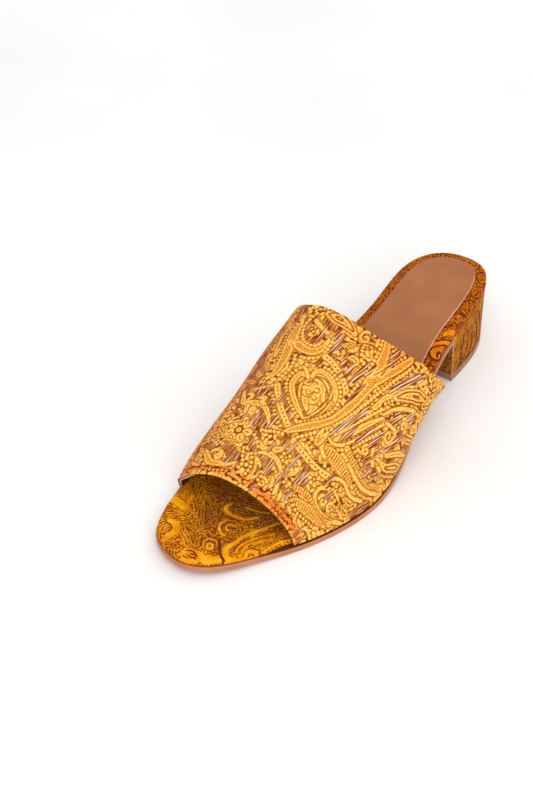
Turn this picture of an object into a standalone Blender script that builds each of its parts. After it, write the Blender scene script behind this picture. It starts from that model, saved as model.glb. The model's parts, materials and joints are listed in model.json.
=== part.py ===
"""Open-toe mule for the left foot: one wide vamp band, a covered footbed and a low block heel.

Metres, +Z up, the floor at z = 0. The toe points to -Y and +X is the outer (lateral) side.
Every piece is shaped in the frame of the last, with the back of the heel at y = 0.
"""

import bmesh
import bpy
import numpy as np

# Sizes of the last
LENGTH = 0.245
BALL_WIDTH = 0.0842
TOE_WIDTH = 0.0554
WAIST_WIDTH = 0.0625
SEAT_WIDTH = 0.0500
HEEL_HEIGHT = 0.0316
TOE_SPRING = 0.0040
INSTEP_HEIGHT = 0.0622
TOE_MOUTH_HEIGHT = 0.0243

# Thicknesses of the pieces
SOLE_THICKNESS = 0.0029
FOOTBED_TOE = 0.0035
FOOTBED_HEEL = 0.0046
SOCK_THICKNESS = 0.0010
UPPER_WALL = 0.0018
TIP_THICKNESS = 0.0042

# Margins between one piece's edge and the next
FOOTBED_MARGIN = 0.0008
SOCK_MARGIN = 0.0060
UPPER_MARGIN = 0.0005
SEAT_MARGIN = 0.0010
SOLE_EDGE_ROUND = 0.0004
FOOTBED_EDGE_ROUND = 0.0016
SOCK_EDGE_ROUND = 0.0004
HEEL_EDGE_ROUND = 0.0005
CLEARANCE = 0.0003

# Heel, with its front wall (the breast) and its foot
BREAST_TOP = 0.0560
BREAST_FOOT = 0.0575
HEEL_FOOT_WIDTH = 0.0496
HEEL_FOOT_SHIFT = 0.0018
HEEL_BACK_TAPER = 0.0062
HEEL_SQUARENESS = 2.6

# Where the sock ends under the vamp, and how the footbed narrows before the vamp and after it
SOCK_FRONT = 0.1640
RECESS_LEAD = 0.0030
RECESS_RUN_FRONT = 0.0120
RECESS_RUN_BACK = 0.0060

# Facets
STATIONS = 62
HEEL_STATIONS = 20
AROUND_VAMP = 44
ALONG_VAMP = 22

# Outline of the sole. Along is a share of LENGTH from the heel's back, the rest of the width named
OUTLINE = (
    # along, width, lateral, medial
    (0.97, TOE_WIDTH, 0.174, 0.445),
    (0.90, TOE_WIDTH, 0.390, 0.610),
    (0.80, BALL_WIDTH, 0.420, 0.476),
    (0.68, BALL_WIDTH, 0.534, 0.466),
    (0.55, BALL_WIDTH, 0.529, 0.446),
    (0.40, WAIST_WIDTH, 0.539, 0.461),
    (0.25, SEAT_WIDTH, 0.543, 0.458),
    (0.10, SEAT_WIDTH, 0.463, 0.510),
    (0.02, SEAT_WIDTH, 0.297, 0.311),
)
TOE_TIP_SIDE = -0.085
HEEL_BACK_SIDE = 0.032

# Underside of the footbed, as shares of the rise to the heel and of the toe spring
BED_LINE = (
    # along, heel rise, toe spring
    (0.00, 1.000, 0.0),
    (0.12, 0.925, 0.0),
    (0.25, 0.845, 0.0),
    (0.40, 0.494, 0.0),
    (0.55, 0.149, 0.0),
    (0.66, 0.000, 0.0),
    (0.80, 0.000, 0.0),
    (0.90, 0.000, 0.37),
    (1.00, 0.000, 1.0),
)

# Cross-sections of the vamp. Height is a share of the climb from toe mouth to instep,
# crown a share of BALL_WIDTH, the leans are degrees outward at the sole,
# and fullness is how far each wall and the crown keep their own direction
VAMP = (
    # along, height, crown, lateral lean, medial lean, wall fullness, crown fullness
    (0.36, 1.29, -0.045, 60.0, 15.0, 0.78, 0.67),
    (0.46, 1.00, -0.065, 36.0, 18.0, 0.72, 0.68),
    (0.66, 0.63, -0.095, 0.0, 12.5, 0.60, 0.63),
    (0.86, 0.00, -0.088, 3.0, 4.0, 0.50, 0.59),
)

# Edges of the vamp, from the medial side of the sole (0) over the crown (0.5) to the lateral side (1)
FRONT_EDGE = (
    # around, along
    (0.00, 0.828),
    (0.25, 0.854),
    (0.50, 0.846),
    (0.75, 0.841),
    (1.00, 0.833),
)
BACK_EDGE = (
    # around, along
    (0.00, 0.445),
    (0.20, 0.460),
    (0.40, 0.480),
    (0.60, 0.484),
    (0.80, 0.447),
    (1.00, 0.357),
)

# Colours, as sRGB shares
BROCADE_GOLD = (0.84, 0.58, 0.16)
BROCADE_MUSTARD = (0.74, 0.48, 0.08)
SOLE_LEATHER = (0.82, 0.49, 0.37)
SOCK_LEATHER = (0.70, 0.44, 0.30)
TIP_RUBBER = (0.52, 0.36, 0.22)


def column(table, index):
    """One column of a table, as an array."""
    return np.array([row[index] for row in table], dtype=float)


def eased(at, stations, values):
    """Monotone cubic through the stations, level between two equal values."""
    order = np.argsort(stations)
    x, v = stations[order], values[order]
    step = np.diff(x)
    slope = np.diff(v) / step
    tangent = np.concatenate((slope[:1], np.zeros(len(x) - 2), slope[-1:]))
    for i in range(1, len(x) - 1):
        if slope[i - 1] * slope[i] > 0:
            near, far = 2 * step[i] + step[i - 1], step[i] + 2 * step[i - 1]
            tangent[i] = (near + far) / (near / slope[i - 1] + far / slope[i])
    at = np.clip(at, x[0], x[-1])
    i = np.clip(np.searchsorted(x, at) - 1, 0, len(step) - 1)
    t = (at - x[i]) / step[i]
    keep = (1 + 2 * t) * (1 - t) ** 2 * v[i] + t**2 * (3 - 2 * t) * v[i + 1]
    turn = t * (1 - t) ** 2 * tangent[i] - t**2 * (1 - t) * tangent[i + 1]
    return keep + turn * step[i]


def smooth_step(at, low, high):
    """0 below low, 1 above high, eased between."""
    t = np.clip((at - low) / (high - low), 0, 1)
    return t * t * (3 - 2 * t)


def closed_spline(knots, per_span=60):
    """Periodic cubic spline through the knots, spaced by the root of their distances."""
    ahead = np.roll(knots, -1, axis=0)
    span = np.sqrt(np.linalg.norm(ahead - knots, axis=1))
    count = len(knots)
    system = np.zeros((count, count))
    for i in range(count):
        system[i, i - 1] += span[i - 1]
        system[i, i] += 2 * (span[i - 1] + span[i])
        system[i, (i + 1) % count] += span[i]
    slope = (ahead - knots) / span[:, None]
    bend = np.linalg.solve(system, 6 * (slope - np.roll(slope, 1, axis=0)))
    curve = []
    for i in range(count):
        j, width = (i + 1) % count, span[i]
        for t in np.linspace(0, width, per_span, endpoint=False):
            rest = width - t
            arch = (bend[i] * rest**3 + bend[j] * t**3) / (6 * width)
            line = (knots[i] * rest + knots[j] * t) / width
            curve.append(arch + line - (bend[i] * rest + bend[j] * t) * width / 6)
    return np.array(curve)


def outline_knots():
    """Toe tip, lateral side to the heel, heel back, medial side to the toe."""
    lateral = [(side * width, -along * LENGTH) for along, width, side, _ in OUTLINE]
    medial = [(-side * width, -along * LENGTH) for along, width, _, side in OUTLINE]
    toe = (TOE_TIP_SIDE * TOE_WIDTH, -LENGTH)
    heel = (HEEL_BACK_SIDE * SEAT_WIDTH, 0.0)
    return np.array([toe] + lateral + [heel] + medial[::-1])


SOLE_OUTLINE = closed_spline(outline_knots())


def inset_outline(inset):
    """The sole's outline moved inward. Inset is a length, or a function of y and side."""
    tangent = np.roll(SOLE_OUTLINE, -1, axis=0) - np.roll(SOLE_OUTLINE, 1, axis=0)
    inward = np.stack((-tangent[:, 1], tangent[:, 0]), axis=1)
    inward /= np.linalg.norm(inward, axis=1)[:, None]
    if callable(inset):
        lateral = np.arange(len(SOLE_OUTLINE)) < np.argmax(SOLE_OUTLINE[:, 1])
        inset = inset(SOLE_OUTLINE[:, 1], lateral)[:, None]
    return SOLE_OUTLINE + inward * inset


def half_edges(outline):
    """Lateral and medial halves of an outline, each as x over a rising y."""
    outline = np.roll(outline, -np.argmin(outline[:, 1]), axis=0)
    heel = np.argmax(outline[:, 1])
    lateral = outline[: heel + 1]
    medial = np.concatenate((outline[heel:], outline[:1]))[::-1]
    return lateral, medial


def bed_height(y):
    """Height above the floor of the footbed's underside, which is also the outsole's top."""
    along = -np.asarray(y) / LENGTH
    stations = column(BED_LINE, 0)
    rise = (HEEL_HEIGHT - SOLE_THICKNESS) * eased(along, stations, column(BED_LINE, 1))
    spring = TOE_SPRING * eased(along, stations, column(BED_LINE, 2))
    return SOLE_THICKNESS + rise + spring


def footbed_thickness(y):
    """The footbed thins from the shank to the ball."""
    along = -np.asarray(y) / LENGTH
    return FOOTBED_HEEL + (FOOTBED_TOE - FOOTBED_HEEL) * smooth_step(along, 0.40, 0.75)


def beside_vamp(y, lateral):
    """1 where the vamp stands beside the footbed, 0 clear of it, eased at both ends."""
    front = np.where(lateral, FRONT_EDGE[-1][1], FRONT_EDGE[0][1]) * -LENGTH - RECESS_LEAD
    back = np.where(lateral, BACK_EDGE[-1][1], BACK_EDGE[0][1]) * -LENGTH + RECESS_LEAD
    enters = smooth_step(y, front - RECESS_RUN_FRONT, front)
    leaves = smooth_step(y, back, back + RECESS_RUN_BACK)
    return enters * (1 - leaves)


def footbed_inset(rounding):
    """Inset of the footbed's edge: a lip of outsole shows, and the vamp's wall has its room."""
    recess = UPPER_MARGIN + UPPER_WALL + CLEARANCE

    def inset(y, lateral):
        share = beside_vamp(y, lateral)
        return FOOTBED_MARGIN + (recess - FOOTBED_MARGIN) * share + rounding

    return inset


def ring(inset, height, front=None, back=None, stations=STATIONS):
    """Pairs of lateral and medial points along an inset outline, lifted by height(y).

    Without a front or back, the ring closes at the tip of the toe or at the heel's back.
    """
    lateral, medial = half_edges(inset_outline(inset))
    s = np.linspace(0, 1, stations + 1)
    low = lateral[0, 1] if front is None else front
    high = lateral[-1, 1] if back is None else back
    if front is None and back is None:
        s = (1 - np.cos(np.pi * s)) / 2
    elif back is not None and front is None:
        s = 1 - np.cos(np.pi * s / 2)
    elif front is not None and back is None:
        s = np.sin(np.pi * s / 2)
    y = low + (high - low) * s
    x = [np.interp(y, side[:, 1], side[:, 0]) for side in (lateral, medial)]
    return np.stack([np.stack((side, y, height(y)), axis=1) for side in x], axis=1)


def loft(name, rings, material):
    """Closed solid through rings of point pairs, bottom first, capped by strips across."""
    bm = bmesh.new()
    walls = []
    for pairs in rings:
        lateral = [bm.verts.new(point) for point in pairs[:, 0]]
        medial = [bm.verts.new(point) for point in pairs[:, 1]]
        walls.append(lateral + medial[::-1])
    around = len(walls[0])
    for lower, upper in zip(walls, walls[1:]):
        for i in range(around):
            j = (i + 1) % around
            bm.faces.new((lower[i], lower[j], upper[j], upper[i]))
    for wall in (walls[0], walls[-1]):
        for i in range(around // 2 - 1):
            bm.faces.new((wall[i], wall[i + 1], wall[-i - 2], wall[-i - 1]))
    bmesh.ops.remove_doubles(bm, verts=bm.verts, dist=1e-6)
    bmesh.ops.recalc_face_normals(bm, faces=bm.faces)
    return finish(name, bm, material)


def finish(name, bm, material):
    """Turn the shape into a smooth-shaded object of the shoe."""
    mesh = bpy.data.meshes.new(name)
    bm.to_mesh(mesh)
    bm.free()
    mesh.shade_smooth()
    mesh.set_sharp_from_angle(angle=np.radians(40))
    mesh.materials.append(material)
    piece = bpy.data.objects.new(name, mesh)
    shoe_pieces.objects.link(piece)
    piece.parent = last
    return piece


def paint(name, colour, roughness, metallic=0.0):
    """Principled material of one plain colour, given in sRGB."""
    material = bpy.data.materials.new(name)
    material.use_nodes = True
    shader = material.node_tree.nodes["Principled BSDF"]
    linear = [c / 12.92 if c <= 0.04045 else ((c + 0.055) / 1.055) ** 2.4 for c in colour]
    shader.inputs["Base Color"].default_value = (*linear, 1.0)
    shader.inputs["Roughness"].default_value = roughness
    shader.inputs["Metallic"].default_value = metallic
    material.diffuse_color = (*linear, 1.0)
    return material


def edge_rows(rounding, low, high):
    """Inset and height of four rings that round both edges of a slab between two heights."""
    return (
        (rounding, low),
        (0.0, lambda y: low(y) + rounding),
        (0.0, lambda y: high(y) - rounding),
        (rounding, high),
    )


def make_outsole():
    """Thin leather sole from the toe to the heel's breast, clear of the breast's slant."""
    slant = (BREAST_FOOT - BREAST_TOP) / (HEEL_HEIGHT - TIP_THICKNESS)
    back = -BREAST_TOP - slant * 2 * SOLE_THICKNESS - CLEARANCE
    rows = edge_rows(SOLE_EDGE_ROUND, lambda y: bed_height(y) - SOLE_THICKNESS, bed_height)
    rings = [ring(inset, height, back=back) for inset, height in rows]
    return loft("outsole", rings, paint("sole_leather", SOLE_LEATHER, 0.45))


def footbed_top(y):
    """Height of the footbed's upper face."""
    return bed_height(y) + footbed_thickness(y)


def make_footbed():
    """Covered insole board with a soft upper edge, narrowed where the vamp stands beside it."""

    def underside(y):
        return bed_height(y) + CLEARANCE

    rows = [(SOLE_EDGE_ROUND, underside), (0.0, lambda y: underside(y) + SOLE_EDGE_ROUND)]
    for angle in np.radians((0, 30, 60, 90)):
        inward = FOOTBED_EDGE_ROUND * (1 - np.cos(angle))
        drop = FOOTBED_EDGE_ROUND * (1 - np.sin(angle))
        rows.append((inward, lambda y, drop=drop: footbed_top(y) - drop))
    rings = [ring(footbed_inset(inward), height) for inward, height in rows]
    return loft("footbed", rings, paint("brocade_footbed", BROCADE_MUSTARD, 0.6))


def make_sock():
    """Leather sock lining on the footbed, from the heel to under the vamp."""

    def underside(y):
        return footbed_top(y) + CLEARANCE

    def face(y):
        return underside(y) + SOCK_THICKNESS

    rings = []
    for inward, height in edge_rows(SOCK_EDGE_ROUND, underside, face):
        front = -SOCK_FRONT + inward
        rings.append(ring(FOOTBED_MARGIN + SOCK_MARGIN + inward, height, front=front))
    return loft("sock", rings, paint("sock_leather", SOCK_LEATHER, 0.4))


def foot_ring(inward, height):
    """Pairs of points round the heel's foot, a squared half-ellipse behind a straight front."""
    angle = np.linspace(0, np.pi / 2, HEEL_STATIONS + 1)
    power = 2 / HEEL_SQUARENESS
    front, back = -BREAST_FOOT + inward, -HEEL_BACK_TAPER - inward
    y = front + (back - front) * np.sin(angle) ** power
    half = (HEEL_FOOT_WIDTH / 2 - inward) * np.abs(np.cos(angle)) ** power
    z = np.full_like(y, height)
    sides = [np.stack((HEEL_FOOT_SHIFT + side * half, y, z), axis=1) for side in (1, -1)]
    return np.stack(sides, axis=1)


def seat_ring(inward, drop):
    """Pairs of points round the heel's top, under the footbed."""
    return ring(
        SEAT_MARGIN + inward,
        lambda y: bed_height(y) - drop,
        front=-BREAST_TOP + inward,
        stations=HEEL_STATIONS,
    )


def make_heel_block():
    """Covered block, drawn straight from the seat's outline down to its foot."""
    low = TIP_THICKNESS + CLEARANCE
    foot = foot_ring(0.0, low + HEEL_EDGE_ROUND)
    seat = seat_ring(0.0, HEEL_EDGE_ROUND)
    between = [foot + (seat - foot) * share for share in np.linspace(0, 1, 6)]
    rings = [foot_ring(HEEL_EDGE_ROUND, low)] + between + [seat_ring(HEEL_EDGE_ROUND, 0.0)]
    return loft("heel_block", rings, paint("brocade_heel", BROCADE_MUSTARD, 0.6))


def make_heel_tip():
    """Top piece: the wearing plate under the heel."""
    high, soft = TIP_THICKNESS, HEEL_EDGE_ROUND
    levels = ((soft, 0.0), (0.0, soft), (0.0, high - soft), (soft, high))
    rings = [foot_ring(inward, height) for inward, height in levels]
    return loft("heel_tip", rings, paint("tip_rubber", TIP_RUBBER, 0.5))


def vamp_point(around, share):
    """Point of the vamp's outer face: around from medial 0 to lateral 1, share from front to back."""
    front = eased(around, column(FRONT_EDGE, 0), column(FRONT_EDGE, 1))
    back = eased(around, column(BACK_EDGE, 0), column(BACK_EDGE, 1))
    along = front + (back - front) * share
    y = -along * LENGTH
    _, climb, crown, lean_out, lean_in, wall, top = [
        eased(along, column(VAMP, 0), column(VAMP, index)) for index in range(len(VAMP[0]))
    ]
    height = TOE_MOUTH_HEIGHT + (INSTEP_HEIGHT - TOE_MOUTH_HEIGHT) * climb
    lateral, medial = half_edges(inset_outline(UPPER_MARGIN))
    side = 1 if around > 0.5 else -1
    half = lateral if side > 0 else medial
    edge = np.interp(y, half[:, 1], half[:, 0])
    lean = np.radians(lean_out if side > 0 else lean_in)
    t = 2 * around if side < 0 else 2 - 2 * around
    crown_x = crown * BALL_WIDTH
    wall_x = edge + side * wall * height * np.sin(lean)
    top_x = crown_x + side * top * abs(crown_x - edge)
    weights = ((1 - t) ** 3, 3 * t * (1 - t) ** 2, 3 * t**2 * (1 - t), t**3)
    x = np.dot(weights, (edge, wall_x, top_x, crown_x))
    z = np.dot(weights, (0.0, wall * height * np.cos(lean), height, height))
    return float(x), float(y), float(bed_height(y) + CLEARANCE + z)


def make_upper():
    """The vamp band: a grid bent over the instep and thickened inward to its wall."""
    bm = bmesh.new()
    bmesh.ops.create_grid(bm, x_segments=AROUND_VAMP, y_segments=ALONG_VAMP, size=0.5)
    for vert in bm.verts:
        vert.co = vamp_point(vert.co.x + 0.5, vert.co.y + 0.5)
    bmesh.ops.recalc_face_normals(bm, faces=bm.faces)
    bm.faces.ensure_lookup_table()
    crown = max(bm.faces, key=lambda face: face.calc_center_median().z)
    if crown.normal.z < 0:
        bmesh.ops.reverse_faces(bm, faces=bm.faces)
    upper = finish("upper", bm, paint("brocade_upper", BROCADE_GOLD, 0.55))
    wall = upper.modifiers.new("wall", "SOLIDIFY")
    wall.thickness = UPPER_WALL
    wall.offset = -1
    wall.use_even_offset = True
    return upper


def stand_over_origin():
    """Move the last so that the shoe's box stands centred over the origin."""
    bpy.context.view_layer.update()
    graph = bpy.context.evaluated_depsgraph_get()
    corners = []
    for piece in shoe_pieces.objects:
        if piece.type == "MESH":
            mesh = piece.evaluated_get(graph).to_mesh()
            corners += [piece.matrix_world @ vert.co for vert in mesh.vertices]
    corners = np.array(corners)
    middle = (corners.min(axis=0) + corners.max(axis=0)) / 2
    last.location = (-middle[0], -middle[1], 0.0)


for leftover in list(bpy.data.objects):
    bpy.data.objects.remove(leftover)

shoe_pieces = bpy.data.collections.new("block_heel_mule")
bpy.context.scene.collection.children.link(shoe_pieces)
last = bpy.data.objects.new("last", None)
last.empty_display_size = LENGTH / 4
shoe_pieces.objects.link(last)

make_outsole()
make_footbed()
make_sock()
make_heel_block()
make_heel_tip()
make_upper()
stand_over_origin()
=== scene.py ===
# %% [markdown]
# # A brocade mule with a block heel
# A left shoe: a wide open-toe vamp, a cloth-covered footbed with a leather sock, a thin
# leather outsole and a low covered heel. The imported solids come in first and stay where
# they are. Each cloth piece then stands where its solid stands, because the solids
# carry every size, and this file only adds what cloth, leather and light add to them.

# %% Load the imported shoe
import json
import math

import bmesh
import bpy
import numpy as np
from mathutils import Matrix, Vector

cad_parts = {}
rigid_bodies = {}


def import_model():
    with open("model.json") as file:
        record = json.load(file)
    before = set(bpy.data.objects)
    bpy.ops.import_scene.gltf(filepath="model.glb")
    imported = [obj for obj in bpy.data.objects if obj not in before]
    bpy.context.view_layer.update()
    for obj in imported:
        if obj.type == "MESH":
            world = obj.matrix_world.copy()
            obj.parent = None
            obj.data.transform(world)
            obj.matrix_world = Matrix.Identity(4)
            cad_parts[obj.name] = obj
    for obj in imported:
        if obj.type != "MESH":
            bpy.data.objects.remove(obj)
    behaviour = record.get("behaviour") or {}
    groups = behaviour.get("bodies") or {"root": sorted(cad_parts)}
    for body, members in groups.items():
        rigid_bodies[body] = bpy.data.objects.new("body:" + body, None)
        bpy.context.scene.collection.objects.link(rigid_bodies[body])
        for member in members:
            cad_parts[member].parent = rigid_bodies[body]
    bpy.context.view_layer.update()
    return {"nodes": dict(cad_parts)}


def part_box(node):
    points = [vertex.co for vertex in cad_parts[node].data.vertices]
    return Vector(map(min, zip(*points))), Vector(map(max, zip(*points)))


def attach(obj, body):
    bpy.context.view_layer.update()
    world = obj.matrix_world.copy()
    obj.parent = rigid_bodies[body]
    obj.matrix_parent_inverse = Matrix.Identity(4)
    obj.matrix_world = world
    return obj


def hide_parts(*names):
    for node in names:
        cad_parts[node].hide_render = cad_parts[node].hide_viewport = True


for leftover in list(bpy.data.objects):
    bpy.data.objects.remove(leftover)
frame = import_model()
print("solids:", sorted(frame["nodes"]))

# %% [markdown]
# The camera could use a shift to frame the shoe as the photo does. It is turned and rolled
# instead, with no shift, so that the same camera serves every other view. The view
# transform is Standard, because the filmic one greys the strong yellow of the cloth.

# %% Camera at the photo's angle
CAMERA_TARGET = (-0.03675, -0.01476, 0.020)
CAMERA_AZIMUTH = 37.70
CAMERA_ELEVATION = 40.37
CAMERA_ROLL = -2.26
CAMERA_DISTANCE = 0.810
CAMERA_LENS = 74.02


def aim_camera():
    """Stand the camera off the shoe along its azimuth and elevation, then roll it."""
    azimuth, elevation, roll = np.radians((CAMERA_AZIMUTH, CAMERA_ELEVATION, CAMERA_ROLL))
    back = np.array((
        math.sin(azimuth) * math.cos(elevation),
        -math.cos(azimuth) * math.cos(elevation),
        math.sin(elevation),
    ))
    level = np.array((math.cos(azimuth), math.sin(azimuth), 0.0))
    upright = np.cross(back, level)
    right = math.cos(roll) * level + math.sin(roll) * upright
    up = math.cos(roll) * upright - math.sin(roll) * level
    place = np.eye(4)
    place[:3, 0], place[:3, 1], place[:3, 2] = right, up, back
    place[:3, 3] = np.array(CAMERA_TARGET) + back * CAMERA_DISTANCE
    data = bpy.data.cameras.new("studio_camera")
    data.sensor_width = 36.0
    data.lens = CAMERA_LENS
    camera = bpy.data.objects.new("studio_camera", data)
    camera.matrix_world = Matrix(place.tolist())
    bpy.context.scene.collection.objects.link(camera)
    bpy.context.scene.camera = camera
    return camera


camera = aim_camera()
bpy.context.scene.view_settings.view_transform = "Standard"
print("camera at", [round(x, 3) for x in camera.matrix_world.translation])

# %% [markdown]
# Every colour below is read as an sRGB hex value, the way a dye or a swatch is named, and
# one function turns it to the linear numbers that Blender mixes. One more function adds a
# shader node with its settings and links, so each material reads as a short list.

# %% Colour and node helpers


def linear(hex_colour):
    """Linear red, green, blue and alpha of an sRGB hex colour such as C98A2B."""
    shares = [int(hex_colour[i : i + 2], 16) / 255 for i in (0, 2, 4)]
    return (*[s / 12.92 if s <= 0.04045 else ((s + 0.055) / 1.055) ** 2.4 for s in shares], 1.0)


def new_material(name):
    """An empty node material with its output, and the tree that holds them."""
    material = bpy.data.materials.new(name)
    material.use_nodes = True
    tree = material.node_tree
    tree.nodes.clear()
    return material, tree


def node(tree, kind, settings=None, **sockets):
    """Add one node. Settings are its properties, sockets are values or other nodes' outputs."""
    made = tree.nodes.new(kind)
    for name, value in (settings or {}).items():
        setattr(made, name, value)
    for name, value in sockets.items():
        key = int(name[1:]) if name[0] == "i" and name[1:].isdigit() else name.replace("_", " ")
        socket = made.inputs[key]
        if isinstance(value, bpy.types.NodeSocket):
            tree.links.new(value, socket)
        else:
            socket.default_value = value
    return made


def ramp(tree, factor, stops):
    """A colour ramp from stops of position and hex colour."""
    made = node(tree, "ShaderNodeValToRGB", Fac=factor)
    bands = made.color_ramp
    while len(bands.elements) < len(stops):
        bands.elements.new(0.5)
    for element, (position, colour) in zip(bands.elements, stops):
        element.position = position
        element.color = linear(colour)
    return made.outputs["Color"]


def steps(tree, value, low, high, out_low=0.0, out_high=1.0):
    """Ease a value from out_low to out_high while it goes from low to high."""
    made = node(
        tree, "ShaderNodeMapRange", {"interpolation_type": "SMOOTHSTEP"}, Value=value,
        From_Min=low, From_Max=high, To_Min=out_low, To_Max=out_high,
    )
    return made.outputs["Result"]


def calculate(tree, operation, first, second=0.5):
    """One sum of a Math node."""
    return node(tree, "ShaderNodeMath", {"operation": operation}, i0=first, i1=second).outputs[0]


def times(tree, first, second):
    """First times second."""
    return calculate(tree, "MULTIPLY", first, second)


def multiply_add(tree, first, second, third):
    """First times second plus third."""
    settings = {"operation": "MULTIPLY_ADD"}
    return node(tree, "ShaderNodeMath", settings, i0=first, i1=second, i2=third).outputs[0]


def parts_of(tree, vector):
    """The X, Y and Z outputs of a vector."""
    return node(tree, "ShaderNodeSeparateXYZ", Vector=vector).outputs


def blend_colours(tree, factor, below, above, blend="MIX"):
    """Lay one colour over another by a factor."""
    settings = {"data_type": "RGBA", "blend_type": blend}
    made = node(tree, "ShaderNodeMix", settings, i0=factor, i6=below, i7=above)
    return made.outputs[2]


def close_material(tree, **sockets):
    """End a material with one Principled shader that has these inputs."""
    shader = node(tree, "ShaderNodeBsdfPrincipled", **sockets)
    node(tree, "ShaderNodeOutputMaterial", Surface=shader.outputs[0])


print("gold thread in linear light:", [round(c, 3) for c in linear("F2B035")])

# %% [markdown]
# The studio is a pale floor and soft light: a white world as a light tent, one wide softbox
# high in front on the right, where the photo is brightest, and a weaker one behind.

# %% Studio floor and light
FLOOR_HALF = 1.6
LIGHTS_AIM = (0, 0, 0.03)
TENT_STRENGTH = 0.86


def pale_floor():
    """Painted board under the shoe: near white, with a faint mottle."""
    bm = bmesh.new()
    bmesh.ops.create_grid(bm, x_segments=8, y_segments=8, size=FLOOR_HALF)
    mesh = bpy.data.meshes.new("studio_floor")
    bm.to_mesh(mesh)
    bm.free()
    material, tree = new_material("painted_board")
    place = node(tree, "ShaderNodeTexCoord").outputs["Object"]
    mottle = node(tree, "ShaderNodeTexNoise", Vector=place, Scale=6.0).outputs["Fac"]
    colour = ramp(tree, mottle, ((0.35, "F1F0EE"), (0.65, "F6F5F3")))
    close_material(tree, Base_Color=colour, Roughness=0.8)
    mesh.materials.append(material)
    floor = bpy.data.objects.new("studio_floor", mesh)
    bpy.context.scene.collection.objects.link(floor)


def softbox(name, place, size, watts):
    """A square white area light that looks at the shoe."""
    data = bpy.data.lights.new(name, "AREA")
    data.size = size
    data.energy = watts
    light = bpy.data.objects.new(name, data)
    light.location = place
    x, y, z = np.array(place) - np.array(LIGHTS_AIM)
    light.rotation_euler = (math.atan2(math.hypot(x, y), z), 0.0, math.atan2(x, -y))
    bpy.context.scene.collection.objects.link(light)


pale_floor()
softbox("softbox_front", (0.85, -0.85, 1.3), 1.8, 16)
softbox("softbox_back", (0.6, 1.2, 1.3), 1.4, 3)
world = bpy.data.worlds.new("light_tent")
world.use_nodes = True
tent = world.node_tree.nodes["Background"].inputs
tent["Color"].default_value = linear("FFFFFF")
tent["Strength"].default_value = TENT_STRENGTH
bpy.context.scene.world = world

# %% [markdown]
# The sizes of the last come back here in metres, as the part's own source has them. All
# shapes are worked out in the frame of the last, with the back of the heel at y = 0, and
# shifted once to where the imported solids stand.

# %% Sizes of the last
LENGTH = 0.245
BALL_WIDTH = 0.0842
TOE_WIDTH = 0.0554
WAIST_WIDTH = 0.0625
SEAT_WIDTH = 0.0500
HEEL_HEIGHT = 0.0316
TOE_SPRING = 0.0040
INSTEP_HEIGHT = 0.0622
TOE_MOUTH_HEIGHT = 0.0243
SOLE_THICKNESS = 0.0029
FOOTBED_TOE = 0.0035
FOOTBED_HEEL = 0.0046
SOCK_THICKNESS = 0.0010
UPPER_WALL = 0.0018
TIP_THICKNESS = 0.0042
FOOTBED_MARGIN = 0.0008
SOCK_MARGIN = 0.0060
UPPER_MARGIN = 0.0005
SEAT_MARGIN = 0.0010
SOLE_EDGE_ROUND = 0.0004
FOOTBED_EDGE_ROUND = 0.0016
HEEL_EDGE_ROUND = 0.0005
CLEARANCE = 0.0003
BREAST_TOP = 0.0560
BREAST_FOOT = 0.0575
HEEL_FOOT_WIDTH = 0.0496
HEEL_FOOT_SHIFT = 0.0018
HEEL_BACK_TAPER = 0.0062
HEEL_SQUARENESS = 2.6
SOCK_FRONT = 0.1640
RECESS_LEAD = 0.0030
RECESS_RUN_FRONT = 0.0120
RECESS_RUN_BACK = 0.0060

tip_low, tip_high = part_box("heel_tip")
LAST_PLACE = np.array((
    (tip_low.x + tip_high.x) / 2 - HEEL_FOOT_SHIFT,
    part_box("footbed")[1].y + FOOTBED_MARGIN,
    0.0,
))
print("the last stands at, in mm:", np.round(LAST_PLACE * 1000, 2))

# %% [markdown]
# A shoemaker shapes a last with a few templates, one for each station along the foot. These
# tables do the same: a width, a lean and a height at some stations, and one eased curve
# through them. Long lists of points would show more, but nobody could adjust them by hand.

# %% Tables of the last
OUTLINE = (
    # along, width, lateral, medial
    (0.97, TOE_WIDTH, 0.174, 0.445),
    (0.90, TOE_WIDTH, 0.390, 0.610),
    (0.80, BALL_WIDTH, 0.420, 0.476),
    (0.68, BALL_WIDTH, 0.534, 0.466),
    (0.55, BALL_WIDTH, 0.529, 0.446),
    (0.40, WAIST_WIDTH, 0.539, 0.461),
    (0.25, SEAT_WIDTH, 0.543, 0.458),
    (0.10, SEAT_WIDTH, 0.463, 0.510),
    (0.02, SEAT_WIDTH, 0.297, 0.311),
)
TOE_TIP_SIDE = -0.085
HEEL_BACK_SIDE = 0.032
BED_LINE = (
    # along, heel rise, toe spring
    (0.00, 1.000, 0.0),
    (0.12, 0.925, 0.0),
    (0.25, 0.845, 0.0),
    (0.40, 0.494, 0.0),
    (0.55, 0.149, 0.0),
    (0.66, 0.000, 0.0),
    (0.80, 0.000, 0.0),
    (0.90, 0.000, 0.37),
    (1.00, 0.000, 1.0),
)
VAMP = (
    # along, height, crown, lateral lean, medial lean, wall fullness, crown fullness
    (0.36, 1.29, -0.045, 60.0, 15.0, 0.78, 0.67),
    (0.46, 1.00, -0.065, 36.0, 18.0, 0.72, 0.68),
    (0.66, 0.63, -0.095, 0.0, 12.5, 0.60, 0.63),
    (0.86, 0.00, -0.088, 3.0, 4.0, 0.50, 0.59),
)
FRONT_EDGE = (
    # around, along
    (0.00, 0.828),
    (0.25, 0.854),
    (0.50, 0.846),
    (0.75, 0.841),
    (1.00, 0.833),
)
BACK_EDGE = (
    # around, along
    (0.00, 0.445),
    (0.20, 0.460),
    (0.40, 0.480),
    (0.60, 0.484),
    (0.80, 0.447),
    (1.00, 0.357),
)


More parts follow.
